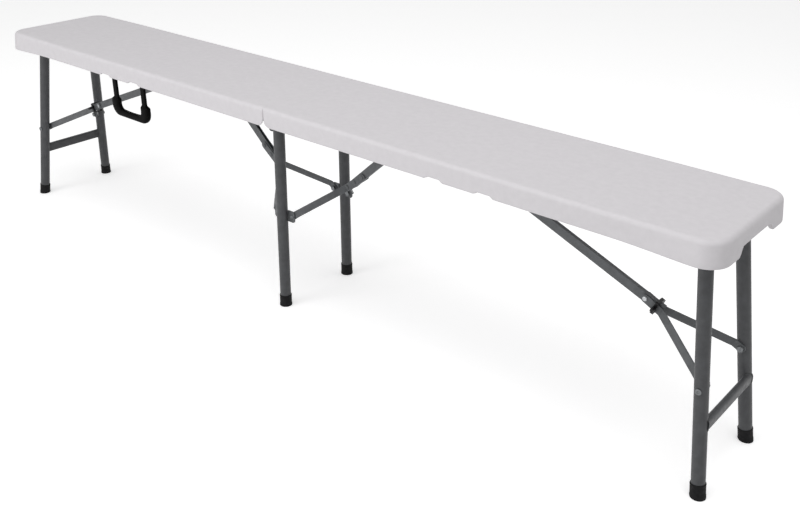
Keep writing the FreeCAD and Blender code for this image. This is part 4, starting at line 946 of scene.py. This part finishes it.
def make_world(settings):
    """Even light from all round, and white where the camera or a shiny piece sees it."""
    world = bpy.data.worlds.new("studio")
    bpy.context.scene.world = world
    world.use_nodes = True
    tree = world.node_tree
    tree.nodes.clear()
    path = add_node(tree, "ShaderNodeLightPath")
    seen = add_node(tree, "ShaderNodeMath", {"operation": "MAXIMUM"},
                    {0: path.outputs["Is Camera Ray"], 1: path.outputs["Is Glossy Ray"]})
    through = add_node(tree, "ShaderNodeMath", {"operation": "MAXIMUM"},
                       {0: seen.outputs[0], 1: path.outputs["Is Transmission Ray"]})
    ambient = add_node(tree, "ShaderNodeBackground", {"Color": WHITE, "Strength": settings.world_level})
    white = add_node(tree, "ShaderNodeBackground", {"Color": WHITE, "Strength": 1.0})
    mix = add_node(tree, "ShaderNodeMixShader", links={
        0: through.outputs[0], 1: ambient.outputs["Background"], 2: white.outputs["Background"]})
    add_node(tree, "ShaderNodeOutputWorld", links={"Surface": mix.outputs["Shader"]})


def make_lamps(settings):
    """Two large soft lamps: above the right half, and low on the near side."""
    for name, level, size, place, target in LAMPS:
        lamp = bpy.data.lights.new(name, "AREA")
        lamp.energy = getattr(settings, level)
        lamp.size = size
        holder = bpy.data.objects.new(name, lamp)
        holder.location = place
        direction = Vector(target) - Vector(place)
        holder.rotation_euler = direction.to_track_quat("-Z", "Y").to_euler()
        bpy.context.scene.collection.objects.link(holder)


def make_camera(settings):
    """The camera from its place, yaw, pitch and roll."""
    yaw, pitch, roll = settings.yaw, settings.pitch, settings.roll
    forward = Vector((math.sin(yaw) * math.cos(pitch), math.cos(yaw) * math.cos(pitch), -math.sin(pitch)))
    level = Vector((math.cos(yaw), -math.sin(yaw), 0))
    upright = level.cross(forward)
    right = level * math.cos(roll) + upright * math.sin(roll)
    up = upright * math.cos(roll) - level * math.sin(roll)
    camera = bpy.data.cameras.new("camera")
    camera.sensor_fit = "HORIZONTAL"
    camera.sensor_width = 36
    camera.lens = settings.focal_length
    camera.clip_start = 0.05
    holder = bpy.data.objects.new("camera", camera)
    turn = Matrix((right, up, -forward)).transposed().to_4x4()
    holder.matrix_world = Matrix.Translation(settings.camera_place) @ turn
    bpy.context.scene.collection.objects.link(holder)
    bpy.context.scene.camera = holder


class BENCH_PT_panel(bpy.types.Panel):
    """The bench's sizes, finishes and stage"""

    bl_idname = "BENCH_PT_panel"
    bl_label = "Folding bench"
    bl_space_type = "VIEW_3D"
    bl_region_type = "UI"
    bl_category = "Bench"

    def draw(self, context):
        scene = context.scene
        for title, group in (("Seat", scene.bench_seat), ("Grip", scene.bench_grip),
                             ("Feet", scene.bench_foot), ("Crossbars", scene.bench_crossbar),
                             ("Leg bolts", scene.bench_bolt), ("Finishes", scene.bench_finish),
                             ("Stage", scene.bench_stage)):
            box = self.layout.box()
            box.label(text=title)
            for name in group.__annotations__:
                box.prop(group, name)
        for operator in OPERATORS:
            self.layout.operator(operator.bl_idname)


GROUPS = {
    "bench_seat": BenchSeatSettings,
    "bench_grip": BenchGripSettings,
    "bench_foot": BenchFootSettings,
    "bench_crossbar": BenchCrossbarSettings,
    "bench_bolt": BenchBoltSettings,
    "bench_finish": BenchFinishSettings,
    "bench_stage": BenchStageSettings,
}
OPERATORS = (BENCH_OT_finishes, BENCH_OT_seat, BENCH_OT_grip, BENCH_OT_feet, BENCH_OT_crossbars,
             BENCH_OT_bolts, BENCH_OT_stage)


def register():
    for name, group in GROUPS.items():
        bpy.utils.register_class(group)
        setattr(bpy.types.Scene, name, PointerProperty(type=group))
    for operator in OPERATORS:
        bpy.utils.register_class(operator)
    bpy.utils.register_class(BENCH_PT_panel)


def unregister():
    bpy.utils.unregister_class(BENCH_PT_panel)
    for operator in reversed(OPERATORS):
        bpy.utils.unregister_class(operator)
    for name, group in GROUPS.items():
        delattr(bpy.types.Scene, name)
        bpy.utils.unregister_class(group)


def main():
    """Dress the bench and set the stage."""
    register()
    bpy.ops.bench.finishes()
    bpy.ops.bench.seat()
    bpy.ops.bench.grip()
    bpy.ops.bench.feet()
    bpy.ops.bench.crossbars()
    bpy.ops.bench.bolts()
    bpy.ops.bench.stage()


if __name__ == "__main__":
    main()
